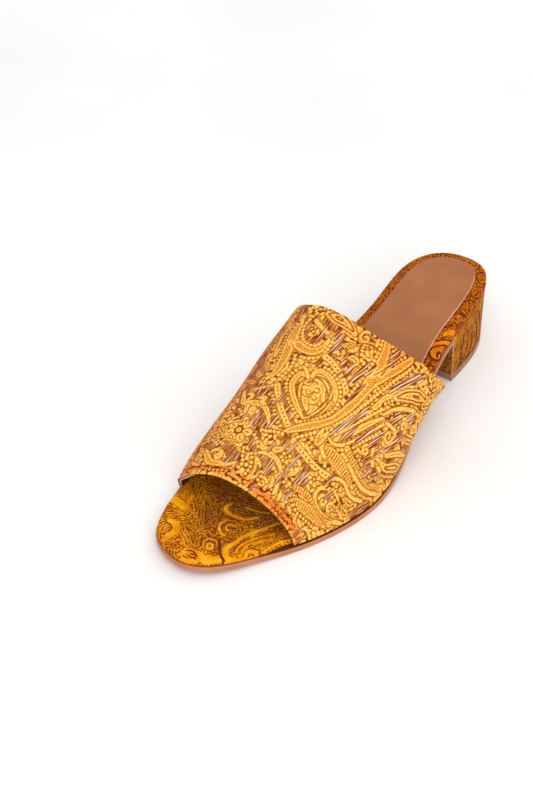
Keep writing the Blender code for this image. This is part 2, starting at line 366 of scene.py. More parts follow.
def eased(at, table, index):
    """Read a column of a table: a monotone cubic, level between two equal values."""
    rows = sorted(table)
    x, v = (np.array([row[k] for row in rows], dtype=float) for k in (0, index))
    step = np.diff(x)
    slope = np.diff(v) / step
    tangent = np.concatenate((slope[:1], np.zeros(len(x) - 2), slope[-1:]))
    for i in range(1, len(x) - 1):
        if slope[i - 1] * slope[i] > 0:
            near, far = 2 * step[i] + step[i - 1], step[i] + 2 * step[i - 1]
            tangent[i] = (near + far) / (near / slope[i - 1] + far / slope[i])
    at = np.clip(at, x[0], x[-1])
    i = np.clip(np.searchsorted(x, at) - 1, 0, len(step) - 1)
    t = (at - x[i]) / step[i]
    keep = (1 + 2 * t) * (1 - t) ** 2 * v[i] + t**2 * (3 - 2 * t) * v[i + 1]
    turn = t * (1 - t) ** 2 * tangent[i] - t**2 * (1 - t) * tangent[i + 1]
    return keep + turn * step[i]


def smooth_step(at, low, high):
    """0 below low, 1 above high, eased between."""
    t = np.clip((at - low) / (high - low), 0, 1)
    return t * t * (3 - 2 * t)


print("stations of the vamp:", len(VAMP), "and of the sole:", len(OUTLINE))

# %% [markdown]
# The sole's outline is one closed spline through the table's points. Insets of it give the
# edge of every layer, so the footbed, the sock and the seat of the heel stay parallel.

# %% Outline of the sole and its insets


def closed_spline(knots, per_span=60):
    """Periodic cubic spline through the knots, spaced by the root of their distances."""
    ahead = np.roll(knots, -1, axis=0)
    span = np.sqrt(np.linalg.norm(ahead - knots, axis=1))
    count = len(knots)
    system = np.zeros((count, count))
    for i in range(count):
        system[i, i - 1] += span[i - 1]
        system[i, i] += 2 * (span[i - 1] + span[i])
        system[i, (i + 1) % count] += span[i]
    slope = (ahead - knots) / span[:, None]
    bend = np.linalg.solve(system, 6 * (slope - np.roll(slope, 1, axis=0)))
    curve = []
    for i in range(count):
        j, width = (i + 1) % count, span[i]
        for t in np.linspace(0, width, per_span, endpoint=False):
            rest = width - t
            arch = (bend[i] * rest**3 + bend[j] * t**3) / (6 * width)
            line = (knots[i] * rest + knots[j] * t) / width
            curve.append(arch + line - (bend[i] * rest + bend[j] * t) * width / 6)
    return np.array(curve)


lateral_knots = [(side * width, -along * LENGTH) for along, width, side, _ in OUTLINE]
medial_knots = [(-side * width, -along * LENGTH) for along, width, _, side in OUTLINE]
toe_knot = (TOE_TIP_SIDE * TOE_WIDTH, -LENGTH)
heel_knot = (HEEL_BACK_SIDE * SEAT_WIDTH, 0.0)
SOLE_OUTLINE = closed_spline(np.array([toe_knot, *lateral_knots, heel_knot, *medial_knots[::-1]]))


def inset_outline(inset):
    """The sole's outline moved inward. Inset is a length, or a function of y and side."""
    tangent = np.roll(SOLE_OUTLINE, -1, axis=0) - np.roll(SOLE_OUTLINE, 1, axis=0)
    inward = np.stack((-tangent[:, 1], tangent[:, 0]), axis=1)
    inward /= np.linalg.norm(inward, axis=1)[:, None]
    if callable(inset):
        lateral = np.arange(len(SOLE_OUTLINE)) < np.argmax(SOLE_OUTLINE[:, 1])
        inset = inset(SOLE_OUTLINE[:, 1], lateral)[:, None]
    return SOLE_OUTLINE + inward * inset


def half_edges(outline):
    """Lateral and medial halves of an outline, each as x over a rising y."""
    outline = np.roll(outline, -np.argmin(outline[:, 1]), axis=0)
    heel = np.argmax(outline[:, 1])
    lateral = outline[: heel + 1]
    medial = np.concatenate((outline[heel:], outline[:1]))[::-1]
    return lateral, medial


def bed_height(y):
    """Height above the floor of the footbed's underside, which is also the outsole's top."""
    along = -np.asarray(y) / LENGTH
    rise = (HEEL_HEIGHT - SOLE_THICKNESS) * eased(along, BED_LINE, 1)
    return SOLE_THICKNESS + rise + TOE_SPRING * eased(along, BED_LINE, 2)


def footbed_top(y):
    """Height of the footbed's upper face. The board thins from the shank to the ball."""
    thin = smooth_step(-np.asarray(y) / LENGTH, 0.40, 0.75)
    return bed_height(y) + FOOTBED_HEEL + (FOOTBED_TOE - FOOTBED_HEEL) * thin


def beside_vamp(y, lateral):
    """1 where the vamp stands beside the footbed, 0 clear of it, eased at both ends."""
    front = np.where(lateral, FRONT_EDGE[-1][1], FRONT_EDGE[0][1]) * -LENGTH - RECESS_LEAD
    back = np.where(lateral, BACK_EDGE[-1][1], BACK_EDGE[0][1]) * -LENGTH + RECESS_LEAD
    enters = smooth_step(y, front - RECESS_RUN_FRONT, front)
    leaves = smooth_step(y, back, back + RECESS_RUN_BACK)
    return enters * (1 - leaves)


def footbed_inset(rounding):
    """Inset of the footbed's edge: a lip of outsole shows, and the vamp's wall has its room."""
    recess = UPPER_MARGIN + UPPER_WALL + CLEARANCE

    def inset(y, lateral):
        share = beside_vamp(y, lateral)
        return FOOTBED_MARGIN + (recess - FOOTBED_MARGIN) * share + rounding

    return inset


def edge_pairs(inset, stations, front=None):
    """Lateral and medial points of an inset outline at shared stations, from toe to heel."""
    lateral, medial = half_edges(inset_outline(inset))
    s = np.linspace(0, 1, stations + 1)
    low = lateral[0, 1] if front is None else front
    high = lateral[-1, 1]
    s = (1 - np.cos(np.pi * s)) / 2 if front is None else np.sin(np.pi * s / 2)
    y = low + (high - low) * s
    lateral_x = np.interp(y, lateral[:, 1], lateral[:, 0])
    medial_x = np.interp(y, medial[:, 1], medial[:, 0])
    return lateral_x, medial_x, y


print("sole outline points:", len(SOLE_OUTLINE))

# %% [markdown]
# Each cloth-covered piece starts as one flat grid, like the cut cloth itself. The grid is
# wrapped by moving its corners to rows of points round the piece, and its doubled corners
# are then merged. A loft of separate rings would give the same shape, but a wrapped grid
# keeps the cloth's own coordinates, which the woven pattern needs.

# %% Wrapping a grid
MERGE = 2e-6


def wrapped_grid(name, points, materials, fill=False):
    """Make a grid of as many corners as the array of points, and move each to its point.

    Points has rows x columns x 3 numbers in the frame of the last. The object keeps a list
    that says which row and column each of its corners came from.
    """
    rows, columns = points.shape[:2]
    bm = bmesh.new()
    bmesh.ops.create_grid(bm, x_segments=columns - 1, y_segments=rows - 1, size=0.5)
    place = points + LAST_PLACE
    row_layer = bm.verts.layers.int.new("row")
    column_layer = bm.verts.layers.int.new("column")
    for vert in bm.verts:
        i = round((vert.co.x + 0.5) * (columns - 1))
        j = round((vert.co.y + 0.5) * (rows - 1))
        vert[row_layer], vert[column_layer] = j, i
        vert.co = place[j, i]
    bmesh.ops.remove_doubles(bm, verts=bm.verts, dist=MERGE)
    if fill:
        bmesh.ops.holes_fill(bm, edges=bm.edges, sides=0)
    mesh = bpy.data.meshes.new(name)
    bm.to_mesh(mesh)
    bm.free()
    mesh.shade_smooth()
    for material in materials:
        mesh.materials.append(material)
    piece = bpy.data.objects.new(name, mesh)
    bpy.context.scene.collection.objects.link(piece)
    print(name, "has", len(mesh.vertices), "corners and", len(mesh.polygons), "faces")
    return piece


def corner_numbers(mesh, name):
    """The row or the column that each corner came from."""
    numbers = np.zeros(len(mesh.vertices), dtype=np.int32)
    mesh.attributes[name].data.foreach_get("value", numbers)
    return numbers


def keep_values(piece, **grids):
    """Store rows x columns of numbers on the piece's corners, one named attribute each."""
    mesh = piece.data
    row, column = corner_numbers(mesh, "row"), corner_numbers(mesh, "column")
    for name, grid in grids.items():
        values = np.asarray(grid, dtype=np.float32)[row, column]
        kind, field = ("FLOAT", "value") if values.ndim == 1 else ("FLOAT_VECTOR", "vector")
        layer = mesh.attributes.new(name, kind, "POINT")
        layer.data.foreach_set(field, values.reshape(-1))


def settle(piece, node_name):
    """Drop the corner lists, ride on the shoe and stand for the solid."""
    for name in ("row", "column"):
        piece.data.attributes.remove(piece.data.attributes[name])
    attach(piece, "root")
    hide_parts(node_name)


# %% [markdown]
# The vamp's outer face is a table of cross-sections, as in the part's source. Here it is
# read for whole arrays at once, and laid out by real length along the cloth.

# %% The vamp's outer face
LATERAL_EDGE, MEDIAL_EDGE = half_edges(inset_outline(UPPER_MARGIN))


def vamp_face(around, share):
    """Points of the outer face: around from medial 0 to lateral 1, share from front to back."""
    front = eased(around, FRONT_EDGE, 1)
    along = front + (eased(around, BACK_EDGE, 1) - front) * share
    y = -along * LENGTH
    climb, crown, lean_out, lean_in, wall, top = (
        eased(along, VAMP, index) for index in range(1, len(VAMP[0]))
    )
    height = TOE_MOUTH_HEIGHT + (INSTEP_HEIGHT - TOE_MOUTH_HEIGHT) * climb
    outer = around > 0.5
    side = np.where(outer, 1.0, -1.0)
    edge = np.where(
        outer,
        np.interp(y, LATERAL_EDGE[:, 1], LATERAL_EDGE[:, 0]),
        np.interp(y, MEDIAL_EDGE[:, 1], MEDIAL_EDGE[:, 0]),
    )
    lean = np.radians(np.where(outer, lean_out, lean_in))
    t = np.where(outer, 2 - 2 * around, 2 * around)
    crown_x = crown * BALL_WIDTH
    wall_x = edge + side * wall * height * np.sin(lean)
    top_x = crown_x + side * top * np.abs(crown_x - edge)
    low, near, high, end = (1 - t) ** 3, 3 * t * (1 - t) ** 2, 3 * t**2 * (1 - t), t**3
    x = low * edge + near * wall_x + high * top_x + end * crown_x
    z = near * wall * height * np.cos(lean) + (high + end) * height
    return np.stack((x, y, bed_height(y) + CLEARANCE + z), axis=-1)


def lengths(points, axis):
    """Distance covered along one axis of an array of points, starting at 0."""
    step = np.linalg.norm(np.diff(points, axis=axis), axis=-1)
    start = np.zeros_like(np.take(step, [0], axis=axis))
    return np.concatenate((start, np.cumsum(step, axis=axis)), axis=axis)


VAMP_COLUMNS = 341
VAMP_ROWS = 205
FINE_ROWS = 301
around_fine, share_fine = np.meshgrid(
    np.linspace(0, 1, VAMP_COLUMNS), np.linspace(0, 1, FINE_ROWS)
)
vamp_fine = vamp_face(around_fine, share_fine)
along_fine = lengths(vamp_fine, 0)
print("vamp length in mm at the crown:", round(along_fine[-1, VAMP_COLUMNS // 2] * 1000, 1))

# %% [markdown]
# The cloth is turned in over the front and back edges, so those edges are soft rolls, and
# not the square cut of the solid. Each roll is a half circle whose outside touches the
# solid's edge, and a narrow hem runs back inside, under the lining. Along the sole the cloth
# tucks in a little, which leaves the thin dark line above the outsole, deepened by painted shade.

# %% The vamp's rolled edges
ROLL = 0.00060
ROLL_ROWS = 9
HEM = 0.0065
HEM_ROWS = 4
ROW_STEP = 0.0005
TUCK = 0.0007
TUCK_HEIGHT = 0.0012


def vamp_rows():
    """Rows of points of the cloth, from the front hem over the outer face to the back hem."""
    total = along_fine[-1]
    spread = np.linspace(0, 1, VAMP_ROWS)[:, None]
    distance = ROLL + (total - 2 * ROLL) * spread
    outer = np.empty((VAMP_ROWS, VAMP_COLUMNS, 3))
    for i, axis in np.ndindex(VAMP_COLUMNS, 3):
        outer[:, i, axis] = np.interp(distance[:, i], along_fine[:, i], vamp_fine[:, i, axis])
    along_step = np.gradient(outer, axis=0)
    around_step = np.gradient(outer, axis=1)
    normal = np.cross(around_step, along_step)
    normal /= np.linalg.norm(normal, axis=-1)[..., None]
    heading = along_step / np.linalg.norm(along_step, axis=-1)[..., None]
    return outer, normal, heading, distance


def tucked(outer, normal):
    """Draw the lowest millimetre of both sides in, where the cloth turns under to the sole."""
    home = lengths(outer, 1)
    low = np.minimum(home, home[:, -1:] - home)
    return outer - normal * (TUCK * (1 - smooth_step(low, 0.0, TUCK_HEIGHT)))[..., None]


vamp_smooth, vamp_normal, vamp_heading, vamp_distance = vamp_rows()
vamp_outer = tucked(vamp_smooth, vamp_normal)
print("outward at the crown:", np.round(vamp_normal[VAMP_ROWS // 2, VAMP_COLUMNS // 2], 2))


def roll_rows(edge, normal, outward):
    """Rows round a half circle, from the inside of the fold to the outer face."""
    rows = []
    for angle in np.linspace(math.pi, 0, ROLL_ROWS)[:-1]:
        turn = math.cos(angle) * normal + math.sin(angle) * outward
        rows.append(edge + ROLL * (turn - normal))
    return rows


def hem_rows(end):
    """Rows of the turned-in hem under the outer face, at the front (1) or the back (-1)."""
    picks = [round(1 + k * (HEM / ROW_STEP) / HEM_ROWS) for k in range(HEM_ROWS, 0, -1)]
    picks = picks if end > 0 else [-pick - 1 for pick in picks]
    return [vamp_outer[k] - 2 * ROLL * vamp_normal[k] for k in picks]


# %% [markdown]
# The weave itself comes next: one chart of the pattern in millimetres of cloth.

# %% Cloth coordinates of the vamp
crown_column = VAMP_COLUMNS // 2
vamp_across = lengths(vamp_smooth, 1)
vamp_across = (vamp_across - vamp_across[:, crown_column : crown_column + 1]) * 1000
vamp_along = vamp_distance * 1000
print("cloth across, front, in mm:", np.round(vamp_across[0, [0, -1]], 1))
print("cloth along, both sides, in mm:", np.round(vamp_along[-1, [0, -1]], 1))

# %% [markdown]
# Brocade has two faces at once: a smooth figure of gold weft, and a ground where warp threads
# float over it as streaks. An image could carry that, but here the figure is drawn as
# strokes in millimetres of cloth, as a weaver's chart is. Each corner of the piece then
# keeps its distance inside the gold and inside the dark outlines, and the material draws
# the edges from these distances, so they stay crisp between the corners.

# %% The weaver's chart
TONES = ("gold", "dark", "silver")
PART = 12  # samples of a stroke painted at a time
# in mm: how far a chart looks round a stroke, the samples' spacing, and the dark lines' width
REACH = 1.6
SPACING = 0.35
SOFT_SPACING = 1.2
BAND_LINE = 0.24
BEAD_LINE = 0.2
NEST_LINE = 0.42


class Chart:
    """Distances, in mm, inside the gold figure and inside its dark lines, for cloth points."""

    def __init__(self, across, along):
        self.shape = across.shape
        self.x = across.ravel()
        self.y = along.ravel()
        self.tones = {name: np.full(self.x.size, -REACH) for name in TONES}
        self.strokes = 0

    def near(self, samples, reach):
        """Cloth points in the box round some samples."""
        low, high = samples.min(axis=0) - reach, samples.max(axis=0) + reach
        inside = (self.x > low[0]) & (self.x < high[0]) & (self.y > low[1]) & (self.y < high[1])
        return np.flatnonzero(inside)

    def paint(self, tone, where, inside):
        """Lay a tone where inside is above 0, and push the other tones back from it."""
        inside = np.clip(inside, -REACH, REACH)
        for name, field in self.tones.items():
            if name == tone:
                field[where] = np.maximum(field[where], inside)
            else:
                field[where] = np.minimum(field[where], -inside)

    def stroke(self, tone, samples, half):
        """A stroke of given half widths along samples."""
        half = np.broadcast_to(half, len(samples))
        self.strokes += 1
        for start in range(0, len(samples), PART):
            part, wide = samples[start : start + PART + 1], half[start : start + PART + 1]
            where = self.near(part, wide.max() + REACH)
            if where.size:
                gap = np.hypot(self.x[where, None] - part[:, 0], self.y[where, None] - part[:, 1])
                self.paint(tone, where, (wide - gap).max(axis=1))

    def grids(self):
        """The three tones, in the piece's rows and columns."""
        return {name: field.reshape(self.shape) for name, field in self.tones.items()}


def trace(points, spacing=SPACING):
    """Smooth curve through the points, as samples at an even spacing."""
    points = np.asarray(points, dtype=float)
    if len(points) == 2:
        dense = points[0] + (points[1] - points[0]) * np.linspace(0, 1, 60)[:, None]
    else:
        ends = 2 * points[[0, -1]] - points[[1, -2]]
        padded = np.concatenate((ends[:1], points, ends[1:]))
        t = np.linspace(0, 1, 24, endpoint=False)[:, None]
        spans = []
        for a, b, c, d in zip(padded, padded[1:], padded[2:], padded[3:]):
            spans.append(
                0.5 * (2 * b + (c - a) * t + (2 * a - 5 * b + 4 * c - d) * t**2
                + (3 * b - a - 3 * c + d) * t**3)
            )
        dense = np.concatenate(spans + [points[-1:]])
    gone = np.concatenate(([0.0], np.cumsum(np.linalg.norm(np.diff(dense, axis=0), axis=1))))
    count = max(2, round(gone[-1] / spacing) + 1)
    even = np.linspace(0, gone[-1], count)
    return np.stack([np.interp(even, gone, dense[:, axis]) for axis in (0, 1)], axis=1)


def tapered(count, widths):
    """Widths spread evenly along a stroke."""
    if np.isscalar(widths):
        return np.full(count, float(widths))
    return np.interp(np.linspace(0, 1, count), np.linspace(0, 1, len(widths)), widths)


def shaped(points, width):
    """Samples along a curve, and half its width at each."""
    samples = trace(points)
    return samples, tapered(len(samples), width) / 2


def stride(pitch):
    """How many samples lie in one pitch."""
    return max(1, round(pitch / SPACING))


def line(chart, points, width, tone="dark"):
    """Plain stroke of one tone."""
    chart.stroke(tone, *shaped(points, width))


def plain_gold(chart, points, width):
    """Gold without an outline, to join two bands."""
    line(chart, points, width, "gold")


def spots(chart, tone, samples, half):
    """Round marks of one tone."""
    for sample in samples:
        chart.stroke(tone, sample[None, :], half)


def band(chart, points, width):
    """Smooth gold band with a dark line down both sides."""
    samples, half = shaped(points, width)
    chart.stroke("dark", samples, half + BAND_LINE)
    chart.stroke("gold", samples, half)


def beads(chart, points, size, pitch=2.2):
    """Row of round gold beads on a dark line."""
    samples, step = trace(points), stride(pitch)
    chart.stroke("dark", samples, size / 2 + BEAD_LINE)
    spots(chart, "gold", samples[step // 2 :: step], size / 2 + BEAD_LINE / 2)


def ladder(chart, points, width, pitch=2.0, dot=0.38):
    """Wide gold band with a row of dark dots down its middle."""
    band(chart, points, width)
    step = stride(pitch)
    spots(chart, "dark", trace(points)[step // 2 :: step], dot)


def dots(chart, points, width, pitch=1.9):
    """Row of dark dots."""
    spots(chart, "dark", trace(points)[:: stride(pitch)], width / 2)


def curl(chart, centre, radius, start, turns, width):
    """Spiral band that winds in to its centre. Start is in degrees, turns may be negative."""
    angle = np.radians(start) + np.linspace(0, turns * 2 * math.pi, 12 + int(abs(turns) * 12))
    shrink = np.linspace(radius, radius * 0.18, len(angle))
    spiral = np.stack((np.cos(angle), np.sin(angle)), axis=1) * shrink[:, None]
    band(chart, centre + spiral, (width, width, width * 0.8))


def leaf(chart, points, width):
    """Pointed leaf along a short curve, with a dark vein."""
    band(chart, points, (0.4, width, width, 0.4))
    samples = trace(points)
    inner = samples[len(samples) // 4 : -max(1, len(samples) // 4)]
    if width > 2.2 and len(inner):
        chart.stroke("dark", inner, 0.22)


def rosette(chart, centre, radius, petals=7):
    """Round flower: a middle bead in a ring of petals."""
    for k in range(petals):
        angle = 2 * math.pi * k / petals
        way = np.array((math.cos(angle), math.sin(angle)))
        leaf(chart, np.array((centre + way * radius * 0.42, centre + way * radius)), radius * 0.62)
    chart.stroke("dark", np.array([centre]), radius * 0.34)
    chart.stroke("gold", np.array([centre]), radius * 0.22)


def nest(chart, points, width, depths=(1.15, 2.75)):
    """Band with outlines inside it at some depths, each parallel to its edge."""
    samples, half = shaped(points, width)
    chart.stroke("dark", samples, half + 0.26)
    chart.stroke("gold", samples, half)
    for depth in depths:
        wide = half > depth + 0.5
        if wide.any():
            chart.stroke("dark", samples[wide], half[wide] - depth)
            chart.stroke("gold", samples[wide], half[wide] - depth - NEST_LINE)


def bars(chart, points, width, pitch=1.5):
    """Band crossed by short dark bars, where it is wide enough."""
    band(chart, points, width)
    samples, half = shaped(points, width)
    step = stride(pitch)
    for k in range(step, len(samples) - step, step):
        way = samples[k + 1] - samples[k - 1]
        across = np.array((-way[1], way[0])) / np.linalg.norm(way) * (half[k] - 0.55) * 0.8
        if half[k] > 0.9:
            chart.stroke("dark", trace((samples[k] - across, samples[k] + across)), 0.2)


def boteh(chart, points, width):
    """Paisley drop with a bent tip: beads round it, two outlines and a small flower inside."""
    samples, half = shaped(points, (width * 0.8, width, width * 0.8, width * 0.35))
    border = tapered(len(samples), (0.9, 2.5, 2.5, 2.5, 0.9))
    chart.stroke("dark", samples, half + border)
    way = np.gradient(samples, axis=0)
    across = np.stack((-way[:, 1], way[:, 0]), axis=1) / np.linalg.norm(way, axis=1)[:, None]
    across *= (half + border * 0.56)[:, None]
    rim = np.concatenate((samples + across, (samples - across)[::-1]))
    gone = 0.0
    for here, there in zip(rim, rim[1:]):
        gone += np.linalg.norm(there - here)
        if gone > 2.4:
            gone = 0.0
            chart.stroke("gold", there[None, :], 1.0)
    nest(chart, points, half * 2, depths=(1.15,))
    rosette(chart, samples[len(samples) // 4], width * 0.22, petals=6)


def fill_small(chart, pitch=(2.2, 2.5), seed=7):
    """Fill the cloth with small gold leaves on dark, close together."""
    chance = np.random.default_rng(seed)
    chart.tones["dark"][:] = REACH
    for j, y in enumerate(np.arange(chart.y.min(), chart.y.max(), pitch[1])):
        for x in np.arange(chart.x.min() + (j % 2) * pitch[0] / 2, chart.x.max(), pitch[0]):
            spot = np.array((x, y)) + chance.uniform(-0.45, 0.45, 2)
            angle = chance.uniform(0, math.pi)
            reach = np.array((math.cos(angle), math.sin(angle))) * chance.uniform(0.2, 0.7)
            along = np.array((spot - reach, spot, spot + reach))
            chart.stroke("gold", along, chance.uniform(0.85, 1.15))


def soft_strokes(across, along, rows):
    """Sum of soft strokes at each cloth point. Each has an amount, a half width and points."""
    total = np.zeros(across.size)
    for amount, half, points in rows:
        x, y = trace(points, SOFT_SPACING).T
        gap = np.hypot(across.ravel()[:, None] - x, along.ravel()[:, None] - y)
        ends = tapered(len(x), (0.1, 1.0, 1.0, 1.0, 0.1))[gap.argmin(axis=1)]
        total += amount * ends * np.exp(-((gap.min(axis=1) / half) ** 2))
    return total.reshape(across.shape)


print("a chart reaches", REACH, "mm from each stroke")

# %% [markdown]
# The big figure of the vamp: a smooth stem that climbs from the toe and forks at the instep,
# bead rows along it, a heart-shaped boteh at its left, and scrolls, rosettes and small
# leaves in the spaces. Every row is a stroke with its kind, its width and its points.

# %% Chart of the vamp
VAMP_GROUND = (
    # half widths, points: where the rust ground shows between the motifs
    ((1, 1.6, 1.6), ((-5.7, 93.1), (-6.4, 88.8), (-6, 83.3))),
    ((1.4, 1.8, 1.4), ((-3.2, 80.2), (0.8, 81.2), (2.7, 84.8))),
    ((1.2, 1.6, 1.2), ((-0.8, 92.1), (3.3, 90.6), (6.9, 89.5))),
    ((1.4, 2, 1.6), ((11.3, 87.7), (11.2, 82.5), (10.8, 78))),
    ((1.6, 1.6), ((14.4, 82.5), (14.2, 78.1))),
    ((1.4, 1.8, 1.4), ((19.4, 83.3), (19.8, 79), (20.1, 75.3))),
    ((1.2, 1.2), ((10.1, 72.5), (8.2, 68.9))),
    ((1.2, 2, 1.6), ((15.6, 71.6), (20.9, 69), (25.9, 66.2))),
    ((1.2, 1.4), ((24.7, 77.7), (24.2, 73.2))),
    ((1.5, 2.4, 2.6, 1.6), ((0.5, 55.5), (3.5, 49.5), (9, 44), (14.5, 39.5))),
    ((4.5, 6.5, 6, 4), ((-9, 48), (-4, 44), (0, 36), (3, 31.5))),
    ((3, 5, 4.5, 3), ((-15.5, 62), (-17, 52), (-16, 42), (-12.5, 33.5))),
    ((3, 5, 4.5, 3.5), ((-24, 14.5), (-15, 14), (-7, 13.5), (2, 9.5))),
    ((1, 1.6, 2.2, 1.2), ((41.5, 69), (39, 62), (36.5, 54), (33, 46.5))),
    ((1, 1.8, 1.5), ((43, 60), (40.5, 53), (37.5, 47.5))),
    ((1.2, 2.8, 2.5), ((53.5, 66.5), (54.5, 61.5), (56, 55.5))),
    ((2.8, 3.8, 2.4), ((66.5, 85), (62.5, 82.5), (57.5, 78))),
    ((1.8, 2.6, 2.4), ((63.5, 77), (63.5, 69), (64, 62))),
    ((2.4, 3.4, 3), ((55, 51), (60, 49.5), (67, 50.5))),
    ((3.5, 3.5), ((68.5, 63.5), (72, 58))),
    ((2.4, 2.8, 1.8), ((16.5, 30.5), (18.5, 26.5), (17.5, 21.5))),
    ((1.5, 3, 3, 1.5), ((22.5, 30.5), (31.5, 26), (34, 21), (31, 16))),
    ((2.4, 2.2), ((12, 19), (17.5, 13.5))),
    ((1.6, 1.6), ((22, 19.5), (24.5, 14.5))),
    ((1.2, 2.4, 1.8), ((37.8, 99.5), (38.8, 94), (40, 89.5))),
    ((1.6, 2.6, 2, 1.2), ((56, 100), (52, 93.5), (48.5, 87), (46, 82))),
    ((2.5, 4), ((-18, 99), (-14.5, 90))),
    ((4, 4), ((-25.5, 72), (-22, 60))),
    ((2, 4), ((68, 33), (74, 41))),
    ((4, 5), ((74, 76), (83, 84))),
    ((3, 3), ((3, 25), (5.5, 20.5))),
    ((2, 2.2), ((27, 12.5), (31, 12))),
    ((2, 3), ((47, 24), (51.5, 23))),
)

